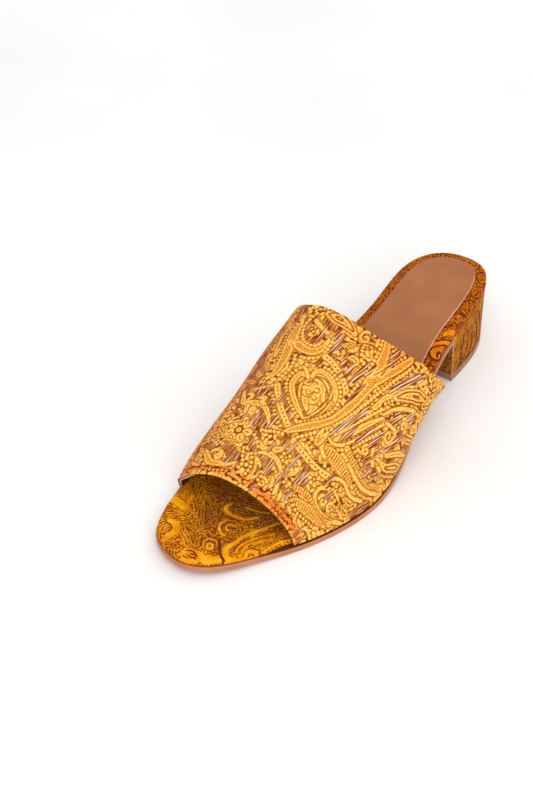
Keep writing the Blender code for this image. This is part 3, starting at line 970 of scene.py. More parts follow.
VAMP_STROKES = (
    # kind, width, points across and along the cloth in mm
    # the boteh at the instep, its curl, and the flower sprays beside it
    ("nest", (3, 7.4, 5.6, 2.6), ((-1.5, 96.2), (6, 95.8), (12.5, 94.2), (16, 92.5))),
    ("beads", 1.7, ((-9.5, 96), (-5.5, 98), (-1, 98.8), (5, 99.4))),
    ("curl", 1.6, (21.5, 93.6, 3.2, 90, 1.2)),
    ("beads", 1.5, ((17.5, 98), (22.5, 98.2), (26.3, 95), (25.5, 90), (21, 88.8))),
    ("leaf", 2, ((27, 97.5), (28.3, 92.5))),
    ("leaf", 2, ((25, 89), (28, 86.5))),
    ("leaf", 2.4, ((14, 86), (19.5, 86.8), (24, 83.4))),
    ("leaf", 2.2, ((17.5, 83.5), (20, 85), (21.5, 88.5))),
    ("leaf", 3, ((19.5, 80.5), (23, 82), (26.5, 79.8))),
    ("leaf", 2.4, ((23, 78.3), (26, 77), (27, 74.5))),
    ("leaf", 1.8, ((15.5, 83), (17.5, 81))),
    ("leaf", 1.8, ((12.5, 78.5), (14, 80.5), (16, 79))),
    # the hooked boteh at the inner side, with its bead border
    ("nest", (2.5, 4.6, 4, 2), ((-21.5, 90), (-19.6, 83.5), (-16.5, 76), (-14.2, 69))),
    ("leaf", 2.6, ((-20, 61), (-16.5, 57.5), (-13, 57))),
    ("leaf", 2.4, ((-19, 66.5), (-15, 63), (-13.5, 59.5))),
    ("leaf", 2.4, ((-21, 55.5), (-17, 53), (-14.5, 53.5))),
    ("beads", 1.9, ((-6.5, 95.8), (-8.2, 92.8), (-9.2, 89), (-8, 84), (-5, 79.7), (-1.5, 77.8),
     (2.1, 78), (4.3, 80), (4.7, 82.9))),
    ("band", 2.2, ((-5.3, 91.3), (-2.2, 89.3), (1.2, 87.8), (4.6, 86.8))),
    ("beads", 1.4, ((-5.6, 89), (-4.4, 86.1), (-1.5, 84.4), (0.4, 83))),
    ("leaf", 1.6, ((-1, 87.4), (-0.9, 85.6), (1, 84.2))),
    ("band", (2.4, 4.4, 5.8, 6.4, 6, 5, 4, 2.4), ((-14.1, 93.2), (-12.5, 86.5), (-11.7, 80.8),
     (-10, 75.1), (-8.3, 69.2), (-7.3, 63.8), (-7.4, 59.2), (-9.4, 55.3))),
    ("band", (4, 4.4, 4.2, 4, 3, 1.6), ((-8.8, 78.3), (-3.5, 75.4), (1.2, 74.6), (4.8, 75.9),
     (6.7, 79.1), (6.9, 84.3))),
    ("gold", (4, 4.4, 4), ((-11.8, 80.8), (-8.5, 78.2), (-3.8, 75.7))),
    ("line", 0.45, ((-8.1, 77.7), (-7.4, 78.8), (-6, 78.7))),
    ("line", 0.45, ((-5.4, 73.6), (-3.9, 72.5), (-1.9, 71.6))),
    ("beads", 1.9, ((-1.1, 70.4), (1.6, 70.5), (4.5, 71.4), (6.8, 73), (8.6, 74.9), (9.1, 78.5),
     (9.3, 82.2), (8.6, 85.2), (9.1, 88.4))),
    ("beads", 1.9, ((-3.3, 71.1), (-2, 67.7), (-1.3, 63.9), (-1.5, 60.9), (-2.5, 56.6),
     (-3.3, 52.5), (-7.1, 50.2), (-11.4, 48.5))),
    ("leaf", 2.2, ((-0.2, 69.5), (1.8, 67.9), (3.6, 66.4))),
    ("leaf", 1.8, ((4.2, 68.7), (6.1, 66.5))),
    ("leaf", 1.8, ((7.8, 67.8), (8.5, 69.6))),
    ("beads", 1.4, ((-14.4, 89.5), (-16.5, 83.1), (-14.2, 76.1), (-11.5, 68.6), (-10.7, 64.5))),
    ("band", 1.5, ((-18.6, 89.6), (-19.3, 83.6), (-17.7, 77), (-15.9, 70.8))),
    ("beads", 1.4, ((-25.4, 91.6), (-25.4, 86.3), (-21.7, 77.9), (-22, 71))),
    # the dotted ladder that arcs over the heart, and its lower half
    ("ladder", 3.2, ((10.5, 75.5), (14.2, 74.9), (17.8, 73.4), (21.3, 71.6), (24.3, 70),
     (27.7, 67.6), (29.4, 65.7))),
    ("ladder", 3.2, ((-1.6, 52.5), (2.6, 47), (7.5, 42), (12.5, 38.2), (15.5, 36))),
    ("beads", 1.6, ((-2.6, 48.8), (1.2, 43.8), (6, 38.6), (11.5, 34.6))),
    # the heart
    ("nest", (20, 17.5, 13, 8, 2.4), ((16.3, 58.6), (17.2, 54.6), (18.3, 50.6), (19.4, 47),
     (20.8, 43.4))),
    ("band", 2.8, ((19.6, 43.6), (14, 46.6), (8.8, 50.6), (4.8, 55.2), (4, 59.6), (6, 63),
     (9.2, 62.8))),
    ("band", (1.6, 3, 3.2, 3), ((11.9, 62), (10.6, 65.6), (13.6, 68.6), (19, 67.8), (24, 64.6),
     (27, 60.2))),
    ("band", (1, 2.2, 1.8), ((3.4, 66.4), (6.4, 65.4), (9.6, 62.2))),
    ("curl", 1.3, (10.4, 60.4, 2, 60, -1)),
    ("line", 0.5, ((12.4, 64.3), (12.2, 62.6), (11.7, 60.8))),
    ("line", 0.5, ((12.4, 64.3), (16, 64.2), (20, 62.2), (23.2, 59), (24.6, 55), (23.6, 50),
     (21.4, 46))),
    ("line", 0.5, ((6.6, 58.5), (7.4, 55.6), (10, 52), (13.6, 48.8), (17, 46.2), (19, 44.4))),
    ("line", 0.4, ((12.2, 57), (12.8, 55.2), (14.4, 55), (14.9, 56.6), (13.6, 57.4))),
    ("line", 0.4, ((11, 54.2), (12.8, 53.4), (14.8, 53.8), (16, 55.4), (15.6, 57.2))),
    ("line", 0.4, ((15.4, 59.5), (17.4, 60.2), (18.2, 58.8), (17, 57.6), (15.6, 58))),
    ("line", 0.4, ((19.6, 58.6), (20.2, 56.4), (22, 55.2), (22.4, 53.2), (20.8, 52.6))),
    ("line", 0.4, ((20.2, 55), (20.4, 53.6), (19.2, 51.8), (17.6, 51.4))),
    ("line", 0.4, ((15.6, 53.2), (17, 51), (18.8, 49), (18.6, 47))),
    ("line", 0.4, ((17.6, 56.4), (18.8, 55.2), (18, 53.8), (16.6, 54.4))),
    ("line", 0.4, ((20.6, 60.8), (21.4, 59.4), (22.6, 57.6))),
    ("line", 0.4, ((13, 61.8), (14.4, 62.2), (15.8, 61.6))),
    ("line", 0.4, ((9.4, 57.6), (9.8, 56), (11, 55.6))),
    ("beads", 1.8, ((12.6, 70.6), (18, 70.4), (23.6, 67.6), (27.6, 63), (28.8, 58), (27.6, 52.6),
     (24.6, 47.6), (21.6, 43.8), (18.6, 41.6))),
    ("beads", 1.7, ((17, 42.6), (12.4, 44.8), (7.6, 48), (3.4, 52.6), (1.2, 57), (1.4, 61.6),
     (3, 65))),
    # the stem, from the fork at the instep down to the toe
    ("band", (3.6, 4.4, 5.6, 6.6, 5.2, 4.4, 3.8, 4, 3.6, 4.2, 3.4, 2), ((31.5, 98.5), (33.8, 92),
     (35, 84), (35.6, 77), (35.2, 70), (34.4, 63), (32.8, 57), (30.8, 51.5), (27.2, 46.5),
     (22.6, 41.6), (18.2, 37.2), (13.6, 32))),
    ("band", (3.4, 4.2, 4.6, 5), ((45.5, 99.5), (43, 93), (40.2, 87), (37.6, 81))),
    ("gold", (4, 5, 4), ((38.5, 84), (36.6, 78.5), (35.6, 72))),
    ("line", 0.5, ((38.6, 93), (38.4, 88), (37.8, 83.5))),
    ("beads", 1.8, ((28.8, 98.5), (30.4, 92), (31.2, 85.5), (31.4, 78), (31.2, 71), (30.4, 64.5))),
    ("beads", 1.9, ((48.6, 99), (46.8, 93), (44.6, 87), (43.2, 81.5), (41.6, 76), (40.2, 70.5),
     (38.4, 64.5), (36.6, 59), (34.6, 53.5), (31.8, 48), (28.4, 43.2), (25, 38.8), (21.6, 34.8))),
    ("beads", 1.5, ((33.8, 99), (36.6, 96), (38.2, 91))),
    ("beads", 1.6, ((42.8, 99.5), (41, 95.5), (39.4, 91))),
    # the nested hairpin right of the stem
    ("ladder", 3, ((35.3, 47.6), (37.9, 53), (40.3, 58.4), (42.5, 63.5), (44.9, 68.5),
     (47.3, 73.3))),
    ("band", (2.2, 2.8, 3, 2.8, 2.4, 1.6), ((37, 45.4), (40, 50.1), (42.7, 55.4), (45, 60.3),
     (47.6, 65.3), (50.4, 70.1))),
    ("band", (1.2, 1.8, 1.8, 1.6), ((32.8, 48.6), (33.4, 45.2), (35.2, 43.4), (37.6, 43.4),
     (40.9, 45.7), (43.6, 49.5), (46.5, 55.5), (48.9, 60.6), (51.3, 65.9), (53.5, 69.9))),
    ("band", (2.4, 3.4, 4.2, 3), ((44, 70), (46, 77), (49.5, 85), (54.5, 91.5))),
    ("beads", 1.6, ((47, 74.6), (49.4, 79.4), (52.6, 83.4), (56.4, 86.8))),
    ("beads", 1.8, ((40, 42.2), (44.5, 46.5), (47, 51), (49.2, 55.8), (51.5, 60.6), (53.6, 65.5))),
    ("band", (1.8, 2.2, 2.2, 2, 1.4), ((53.5, 69.9), (56.7, 71.2), (60.4, 71.6), (62, 69.2),
     (61.2, 66.5), (58.4, 65.2), (56.1, 64.5))),
    ("curl", 1.6, (58.6, 67.2, 3.2, 40, -1.2)),
    ("beads", 1.5, ((53.4, 73.4), (57, 74.6), (61, 74.2))),
    ("band", (1.6, 2.4, 2), ((51.2, 55.6), (54.6, 57.4), (57.4, 54.6))),
    ("curl", 1.5, (52.6, 53.6, 2.4, 120, 1.2)),
    ("leaf", 2.2, ((56.6, 52.4), (59.4, 53.2), (62.4, 51.6))),
    ("leaf", 2, ((62, 60.5), (60.4, 57.5), (61, 55.4))),
    # the sprays that fan out over the outer side
    ("nest", (3, 6, 7, 4), ((50, 81.5), (54, 86.5), (59.5, 91), (66.5, 94.5))),
    ("band", (1.4, 2, 2.2, 1.6), ((49.8, 71.3), (52.3, 76.6), (56.5, 81.1), (62.3, 85.4),
     (69.4, 88.5))),
    ("line", 0.45, ((51, 76.5), (53.5, 80.6), (56.4, 84.4), (61.2, 88), (68.8, 90.9))),
    ("leaf", 2.2, ((60.4, 75.6), (60.8, 78.5), (63.5, 80.6))),
    ("leaf", 2, ((63.4, 75.2), (64.6, 78), (68, 81))),
    ("beads", 1.5, ((54.5, 75.6), (58.4, 79.2), (63, 82.6), (68, 84.8))),
    ("curl", 1.7, (62.6, 77.4, 2.8, 150, -1.3)),
    ("nest", (2.4, 4.4, 4.4, 2), ((66, 76.5), (70.5, 76.8), (75.5, 79.6), (81, 84))),
    ("band", (1.6, 2.6, 2.6, 1.6), ((60.5, 62), (63.5, 61.2), (67, 64.6), (72, 69.5), (79, 74))),
    ("curl", 1.7, (61.6, 58.4, 2.8, 80, 1.3)),
    ("nest", (2.2, 4.2, 4.8, 3), ((64.5, 57.5), (69, 59), (74.5, 64), (81, 69))),
    ("beads", 1.6, ((66.5, 54.5), (71, 56), (76.5, 60.5), (82, 65))),
    ("curl", 1.6, (72.8, 53.2, 3, 200, 1.4)),
    ("leaf", 2, ((62.6, 53.6), (65.6, 55.2), (68.6, 54))),
    ("beads", 1.6, ((67, 52.2), (69.8, 49.6), (74, 50.4))),
    # arcs over the leaf at the outer ball
    ("bars", 3.2, ((44.2, 46.6), (50, 45), (57, 44.4), (64, 45.6), (70.5, 49), (75.5, 53.5))),
    ("beads", 1.6, ((45.5, 49.8), (50.5, 48.4), (55, 47.6), (60.5, 47.8), (66.5, 49.4))),
    ("band", 2, ((49, 42.2), (56, 41.2), (63, 42.2), (69.5, 45.4), (75, 49.6))),
    ("beads", 1.6, ((57, 38.8), (62.5, 39.2), (68, 41.4), (73, 45.2))),
    ("bars", (2, 6.4, 6.6, 4.2, 1), ((33.4, 38.6), (38.6, 38.8), (45, 38.6), (51.5, 37.6),
     (58.4, 37.4))),
    ("band", 2.2, ((32.8, 42.4), (33.8, 37.6), (38.8, 34.8))),
    ("nest", (1.4, 3.2, 3.2, 1.6), ((29.6, 45.5), (29.8, 41.5), (30.8, 38.6), (32.4, 45.5))),
    # the bands round the ball of the foot
    ("beads", 1.6, ((26.5, 36.5), (31, 34.2), (37, 33.6), (43, 33), (49, 34))),
    ("leaf", 1.8, ((34.6, 35.4), (36.4, 32.2))),
    ("leaf", 1.8, ((38, 35), (40, 32))),
    ("leaf", 1.8, ((31.2, 35.6), (32.8, 32.6))),
    ("ladder", 3.2, ((20.5, 32.2), (26, 30.6), (32.6, 29.4), (39, 29.6), (45, 31.2))),
    ("band", 1.8, ((44.2, 26.5), (44.8, 30.2), (48, 33.6), (52.4, 35.2), (57.6, 34.4), (62.5, 36),
     (68, 39.6))),
    ("leaf", 1.7, ((49.4, 32.8), (49.8, 30.2))),
    ("leaf", 1.7, ((52, 33.4), (52.4, 30.6))),
    ("leaf", 1.7, ((54.8, 33.2), (55.2, 30.4))),
    ("leaf", 2.6, ((56.5, 32), (60.5, 32.2), (64.5, 34.6))),
    ("leaf", 2.6, ((57.5, 28.6), (61.5, 28.4), (66, 30.6))),
    ("band", 1.6, ((49, 29), (54, 28.4), (58.5, 26.2), (64, 26.6))),
    # the big curl with its beads, low on the outer side
    ("band", 2, ((45.5, 26.6), (43, 24.2), (42.4, 20.8), (44.6, 18.4), (49, 17.6), (54, 18.6),
     (59.5, 21.4), (64.5, 25))),
    ("curl", 1.6, (47.6, 21.6, 2.6, 200, -1.2)),
    ("curl", 1.6, (53, 22.6, 2.6, 20, 1.2)),
    ("rosette", 2.6, (56.4, 24.2)),
    ("beads", 1.6, ((44, 28.2), (46.2, 27.2), (50.5, 26.4), (54.8, 26.8))),
    ("band", 1.6, ((38.5, 27.6), (40.6, 24.6), (40, 20.4), (37.6, 18.2))),
    ("rosette", 3.2, (38.2, 25)),
    ("leaf", 2, ((36.4, 21), (39, 19.6))),
    # flowers and vees near the toe
    ("band", (2.8, 4.6, 4.8, 3.6), ((28, 25.6), (27.8, 23.4), (27.4, 21.2), (27, 19.6))),
    ("line", 0.4, ((27.2, 25), (28.4, 23.8), (27, 22.4), (28.2, 21))),
    ("leaf", 2, ((30.2, 23.5), (31.6, 25.4))),
    ("leaf", 2.4, ((22, 26.6), (24.6, 24), (24, 20.4))),
    ("rosette", 3, (21.6, 23.6)),
    ("rosette", 2.8, (21.4, 17.6)),
    ("band", (1.6, 3, 3, 1.4), ((6.6, 23.4), (10.4, 21.4), (15.6, 24), (20, 27.6))),
    ("band", (1.4, 2.8, 2.8, 1.6), ((9, 18.6), (13.6, 20.6), (18.8, 20), (23, 17.2))),
    ("leaf", 2.2, ((13.6, 28.6), (15.6, 26.4))),
    ("leaf", 2.2, ((17.8, 17.6), (19.4, 15.2))),
    ("bars", 2.8, ((29, 14.8), (34, 16.4), (40, 17.6), (46, 16), (52.5, 16.4), (59, 19.6))),
    ("bars", (1.6, 4.6, 5.4, 3.4, 1.2), ((31, 9.6), (37, 11.4), (44, 13.4), (51, 14.6),
     (57.5, 16.8))),
    ("beads", 1.6, ((25.5, 14.5), (31, 12.4), (38, 8.6), (45, 9.6), (52, 11.4))),
    ("leaf", 2.2, ((24, 13), (25, 9), (24.6, 5.6))),
    ("leaf", 2, ((27.6, 11), (28.2, 7), (27.4, 4.4))),
    ("leaf", 2, ((20.6, 13.4), (22, 10), (21.6, 6.8))),
    ("curl", 1.5, (17.6, 7.6, 2.6, 30, 1.3)),
    ("leaf", 2, ((33, 7.6), (37.5, 5.6))),
    ("leaf", 2, ((41, 7.2), (46, 6))),
    # beads, fans and the rosette at the inner side
    ("beads", 1.9, ((15.4, 32.2), (10.6, 31.2), (6.2, 29.4), (2.6, 28.6))),
    ("beads", 1.8, ((-0.5, 26.5), (3.5, 24.6), (7.2, 21))),
    ("rosette", 6.8, (-6.4, 25.2)),
    ("nest", (2, 3.6, 3.6, 2), ((-15.5, 29), (-12.6, 30.4), (-9.5, 31.2), (-6, 32))),
    ("leaf", 2.8, ((-15.6, 26.8), (-14, 24))),
    ("leaf", 2.8, ((-15.8, 22.6), (-13.6, 20.2))),
    ("leaf", 2.6, ((-12, 18.4), (-9, 20.4), (-7, 18.4))),
    ("leaf", 2.6, ((-6.4, 17.6), (-4.2, 19.4))),
    ("leaf", 2.4, ((-1, 22.2), (1.6, 20.4))),
    ("beads", 1.7, ((-17.5, 27), (-17, 22), (-14.5, 18.5), (-10.5, 16.8))),
    ("beads", 1.8, ((0.8, 18.6), (2.4, 14.4), (4.6, 10.6), (3.4, 6.8))),
    ("beads", 1.7, ((5.4, 17.4), (7.6, 14.2), (9, 10.4), (8.6, 6.4))),
    ("nest", (1.8, 3.4, 3.4, 2), ((9.4, 15.8), (12.2, 12.6), (12.6, 8.6), (10.6, 5.4))),
    ("beads", 1.6, ((14.4, 12.4), (15.8, 9.6), (14.6, 6))),
    # the scroll above it
    ("band", (1.4, 2.6, 3, 3.4, 3.2, 2.6, 1.4), ((-19.6, 48.4), (-16.8, 44.8), (-13.6, 40.6),
     (-8, 40.4), (-2.4, 40.6), (2.4, 37.6), (5.6, 33.2))),
    ("band", (1.2, 2.2, 2.4, 2), ((-6.4, 43.6), (-3.2, 44.4), (-3.6, 42), (-1.4, 41))),
    ("band", (2.4, 2.6, 2.2, 1.2), ((-9.4, 38.6), (-8.8, 35.6), (-5, 34), (-1, 35.2))),
    ("curl", 1.9, (-5.2, 36.8, 2.6, 0, -1.1)),
    ("band", (1.2, 2.2, 2, 1.2), ((-14, 45.6), (-11.6, 45.2), (-10.4, 43.4), (-12.6, 42.2))),
    ("leaf", 2, ((-22.4, 44.2), (-19.6, 42.6), (-17.4, 40))),
    ("leaf", 2, ((-21, 38.4), (-18.2, 38), (-16, 36))),
    ("beads", 1.7, ((-14.2, 36.6), (-11.4, 35), (-9.8, 33))),
    ("beads", 1.8, ((-14.2, 33.4), (-16.6, 31), (-18.4, 27.8), (-19.4, 23))),
    ("beads", 1.6, ((-3.4, 47.2), (0.4, 46), (2.2, 43.4))),
    # the lower scroll at the toe
    ("band", (1.4, 2.8, 3.4, 3.4, 3, 2, 1.2), ((-24.6, 15), (-20.8, 13.6), (-16.8, 11.2),
     (-12.6, 7.2), (-7.4, 6.4), (-2, 7), (1.6, 10))),
    ("band", (1.6, 2.4, 2.4, 1.4), ((-14.6, 12.2), (-11.6, 13.8), (-7.6, 12.2), (-5.2, 10.2))),
    ("curl", 1.7, (-9.4, 10.6, 2.4, 90, -1.2)),
    ("curl", 1.7, (-21.4, 10.4, 2.8, 60, 1.3)),
    ("band", (1.2, 2.2, 1.4), ((-26, 8.4), (-22.2, 6.4), (-17.5, 5.2))),
    ("beads", 1.7, ((-20, 19.8), (-15.6, 17.6), (-12.6, 15.4))),
    ("beads", 1.6, ((-16, 4.2), (-11, 2.8), (-5.5, 3), (0, 4.4))),
    # the inner side, which the photo shows edge on: the same motifs again, in the same sizes
    ("boteh", 9, ((-38, 30), (-36.5, 40), (-30.5, 46.5), (-27, 41))),
    ("boteh", 9.5, ((-40, 62), (-38, 73), (-31, 79), (-27.5, 73))),
    ("boteh", 9, ((-58, 66), (-55.5, 76), (-49, 82.5), (-45.5, 76.5))),
    ("boteh", 8.5, ((-53.5, 36), (-51.5, 46), (-45.5, 52), (-42.5, 46.5))),
    ("boteh", 8.5, ((-42, 8), (-39, 16.5), (-32, 21), (-29, 15.5))),
    ("boteh", 8.5, ((-60, 94), (-50, 99), (-41, 98), (-37, 91.5))),
    ("rosette", 4.6, (-31, 57)),
    ("rosette", 4.4, (-48, 59)),
    ("rosette", 4.4, (-30, 89)),
    ("rosette", 4, (-47, 25)),
    ("rosette", 4.2, (-31.5, 27)),
    ("curl", 1.8, (-62, 55, 4.2, 60, 1.4)),
    ("curl", 1.8, (-66, 84, 4.2, 200, -1.4)),
    ("curl", 1.8, (-27, 64, 3.6, 120, 1.4)),
    # the outer side towards the back edge
    ("boteh", 10, ((84, 86), (80, 95), (71, 98.5), (67, 92.5))),
    ("boteh", 9.5, ((95, 106), (90, 113.5), (82.5, 114.5), (79.5, 109))),
    ("boteh", 9, ((76, 100), (70, 107), (62, 108), (60.5, 102.5))),
    ("beads", 1.8, ((60, 112), (70, 112.5), (80, 119.5), (90, 121))),
    ("rosette", 4.2, (90, 96)),
    ("curl", 1.8, (88, 78, 4, 140, 1.4)),
    ("curl", 1.8, (97, 116, 3.6, 300, -1.4)),
)

VAMP_SILVER = (
    # across, from, to, width: single silver floats over the ground
    (28.6, 84, 71.5, 0.8), (29.9, 79, 73.5, 0.6), (32.6, 84.5, 80, 0.5), (32.9, 74, 63, 0.6),
    (11.2, 88.5, 81, 0.6), (12.4, 88.5, 80.5, 0.5), (9.2, 90, 86.5, 0.4), (24.2, 78.5, 73, 0.6),
    (41.3, 67, 62.5, 0.9), (39.6, 63, 57.5, 1.1), (37.8, 59, 54, 0.9), (36.2, 55, 50, 0.7),
    (34.4, 51, 46, 0.6), (41.6, 56, 51, 0.6), (39.6, 52.5, 47.5, 0.6), (48.6, 63, 57, 0.8),
    (46.6, 57.5, 51.5, 0.7), (53.6, 64.5, 58, 0.7), (54.6, 62, 57.5, 0.5), (55.6, 100, 96.5, 0.9),
    (53, 97.5, 93, 0.8), (51, 95.5, 89.5, 1.1), (49, 91, 86, 1), (46.8, 87, 82, 0.8),
    (63.6, 85.5, 81, 0.8), (66.8, 85, 81.5, 0.8), (56.4, 79, 73.5, 0.9), (58, 78, 73.5, 0.5),
    (58.6, 60, 55, 0.7), (60.8, 50.5, 46.2, 0.7), (56.8, 51, 46.6, 0.5), (62.8, 70.5, 62, 0.7),
    (31.9, 27, 22.5, 0.6), (33.9, 26, 19.5, 0.6), (30.9, 20.5, 17, 0.6), (26.2, 27.5, 22, 0.5),
    (25.4, 20, 16.8, 0.7), (21.9, 33, 26.5, 0.5), (13, 25, 22, 0.6), (16.4, 18, 13, 0.5),
    (17.8, 17.5, 13.2, 0.4), (48.3, 28, 24, 0.6), (7.2, 37.5, 33, 0.6), (5, 50, 46, 0.5),
    (-5.2, 50, 46.5, 0.5), (-1, 34.8, 31, 0.6), (-3.2, 33.6, 30.5, 0.4), (3, 46.5, 43, 0.4),
    (2, 88, 84, 0.4), (-3, 12, 8.5, 0.6), (-8, 34.8, 32.6, 0.4), (37.4, 98.8, 93, 0.6),
    (39.2, 96, 89, 0.5), (67, 76, 72, 0.5), (66, 52, 48, 0.5), (23.4, 14.5, 11, 0.5),
    (50.2, 6, 1.5, 0.6), (45.8, 5.8, 1.2, 0.5), (33.4, 4.8, 1.4, 0.3), (14.6, 3.8, 0.8, 0.3),
    (31.2, 13, 9.8, 0.7), (45.2, 33, 29.5, 0.5), (19, 30.5, 27, 0.4), (21, 73.5, 70.5, 0.4),
)


# the warp leans by a share at the crown and more for each mm outward; floats run out in mm
CROWN_SLANT = 0.06
SLANT_GAIN = 0.0055
FLOAT_RUN_OUT = 1.5


def draw(chart, strokes):
    """Draw a table of strokes on a chart."""
    tools = {tool.__name__: tool for tool in (band, beads, ladder, leaf, nest, bars, boteh, dots)}
    tools.update(line=line, gold=plain_gold)
    for kind, width, points in strokes:
        if kind == "curl":
            across, along, radius, begin, turns = points
            curl(chart, (across, along), radius, begin, turns, width)
        elif kind == "rosette":
            rosette(chart, np.array(points), width)
        else:
            tools[kind](chart, points, width)
    print("strokes drawn:", chart.strokes)


def show_ground(chart, rows):
    """Clear the zones where the ground of the cloth shows."""
    for half, points in rows:
        samples = trace(points)
        chart.stroke("ground", samples, tapered(len(samples), half))


def warp_slant(across):
    """How far the warp leans to the outer side for each mm along, from the crown outward."""
    return CROWN_SLANT + SLANT_GAIN * np.maximum(across, 0.0)


def lay_silver(chart, rows):
    """Zones along the warp where silver threads float over the cloth."""
    for across, high, low, width in rows:
        lean = warp_slant(across) * (high - low) / 2
        ends = ((across + lean, high + FLOAT_RUN_OUT), (across - lean, low - FLOAT_RUN_OUT))
        samples = trace(ends)
        half = tapered(len(samples), (0.2, width, width, 0.2)) * 1.1 + 0.15
        chart.stroke("silver", samples, half)


vamp_chart = Chart(vamp_across, vamp_along)
fill_small(vamp_chart)
show_ground(vamp_chart, VAMP_GROUND)
draw(vamp_chart, VAMP_STROKES)
lay_silver(vamp_chart, VAMP_SILVER)

# %% [markdown]
# Woven brocade: rayon gold weft over a rust warp. The gold has painted highlights in small ribs,
# brightest on the beads and narrow leaves, and deeper on the wide bands, where small brown
# flecks of the warp come through in a staggered lattice. The ground shows long floats of
# rust, dark and silver thread, side by side at an even pitch that wanders a little. Real
# threads are near 0.15 mm, finer than a pixel of the picture, so the floats are drawn some
# three to four times as wide.

# %% Threads of the brocade
FLOAT_PITCH = 1.1
SILVER_PITCH = 1.15
THREAD_RELIEF = 0.00035


def attribute(tree, name, output="Fac"):
    """Output of a named attribute of the piece."""
    return node(tree, "ShaderNodeAttribute", {"attribute_name": name}).outputs[output]


def stretched_noise(tree, place, scale, detail=2.0):
    """Noise whose grains are stretched: scale is grains per mm across and along."""
    fitted = node(tree, "ShaderNodeMapping", Vector=place, Scale=(*scale, 1.0))
    made = node(tree, "ShaderNodeTexNoise", Vector=fitted.outputs[0], Scale=1.0, Detail=detail)
    return made.outputs["Fac"]


def lattice(tree, cloth, pitch):
    """Marks in a staggered lattice, pitch in mm: 1 in their middle, 0 or less between."""
    parts = parts_of(tree, cloth)
    turns = [times(tree, parts[axis], math.pi / step) for axis, step in zip("XY", pitch)]
    return times(tree, *[calculate(tree, "SINE", turn) for turn in turns])


def even_floats(tree, warp, pitch):
    """Parallel floats along the warp at a pitch in mm that wander a little, from 0 to 1."""
    wander = stretched_noise(tree, warp, (0.5, 0.06), 1.0)
    turn = times(tree, parts_of(tree, warp)["X"], 2 * math.pi / pitch)
    wave = calculate(tree, "SINE", multiply_add(tree, wander, 9.0, turn))
    return multiply_add(tree, wave, 0.5, 0.5)


def striped(tree, warp, pitch, share, grains, detail=2.0):
    """Threads side by side: noise drawn out along the warp, with a share of even floats."""
    noise = stretched_noise(tree, warp, grains, detail)
    level = calculate(tree, "SUBTRACT", noise, share / 2)
    return multiply_add(tree, even_floats(tree, warp, pitch), share, level)


def gold_thread(tree, cloth, depth, figure):
    """Colour of the weft from its three golds, by depth in the figure in mm, with painted
    highlights.
    """
    ribs = stretched_noise(tree, cloth, (0.9, 1.7))
    edge = steps(tree, depth, -0.1, 0.45)
    broad = steps(tree, depth, 0.7, 1.2)
    # painted highlight: ribs and narrow shapes are lighter gold, broad bands deeper
    painted_highlight = multiply_add(tree, broad, -0.22, multiply_add(tree, edge, 0.36, ribs))
    stops = ((0.50, figure[0]), (0.74, figure[1]), (0.96, figure[2]))
    return ramp(tree, painted_highlight, stops), ribs, broad


def ground_thread(tree, warp, ground, gold, silver):
    """Colour of the ground: floats in deep, middle and light rust, with some gold and silver."""
    floats = striped(tree, warp, FLOAT_PITCH, 0.20, (2.3, 0.2))
    stops = (
        (0.36, ground[0]), (0.47, ground[1]), (0.56, ground[2]), (0.63, gold), (0.74, silver)
    )
    return ramp(tree, floats, stops), floats


def tinted_by_wear_and_shade(tree, colour):
    """Tint by wear and painted shade: orange on hems and the inner side, dark brown in folds."""
    stops = ((0.0, "FFFFFF"), (0.5, "E4A878"), (1.0, "6E2E14"))
    return blend_colours(tree, 1.0, colour, ramp(tree, attribute(tree, "wear"), stops), "MULTIPLY")


def close_cloth(tree, colour, height, roughness, lustre=0.12):
    """Finish a cloth: relief of the threads and a soft rayon lustre."""
    bump = node(tree, "ShaderNodeBump", Height=height, Strength=0.7, Distance=THREAD_RELIEF)
    close_material(
        tree, Base_Color=colour, Roughness=roughness, Normal=bump.outputs[0],
        IOR=1.48, Specular_IOR_Level=lustre,
    )


print("pitch of the drawn floats in mm:", FLOAT_PITCH)

# %% [markdown]
# The cloth of the vamp puts figure, outline and ground together. Noise on colour alone would
# give a printed look, so each tone also has its own height: gold lies highest, floats lie
# between, and the dark outlines are the gaps where the weft dives under.

# %% Figured brocade of the vamp


def ragged_masks(tree, cloth, names):
    """Masks of the chart's tones, their edges stepped a little by the threads."""
    rag = stretched_noise(tree, cloth, (2.6, 1.6))
    wander = multiply_add(tree, rag, 0.7, -0.35)
    return {
        name: steps(tree, calculate(tree, "ADD", attribute(tree, name), wander), -0.10, 0.16)
        for name in names
    }


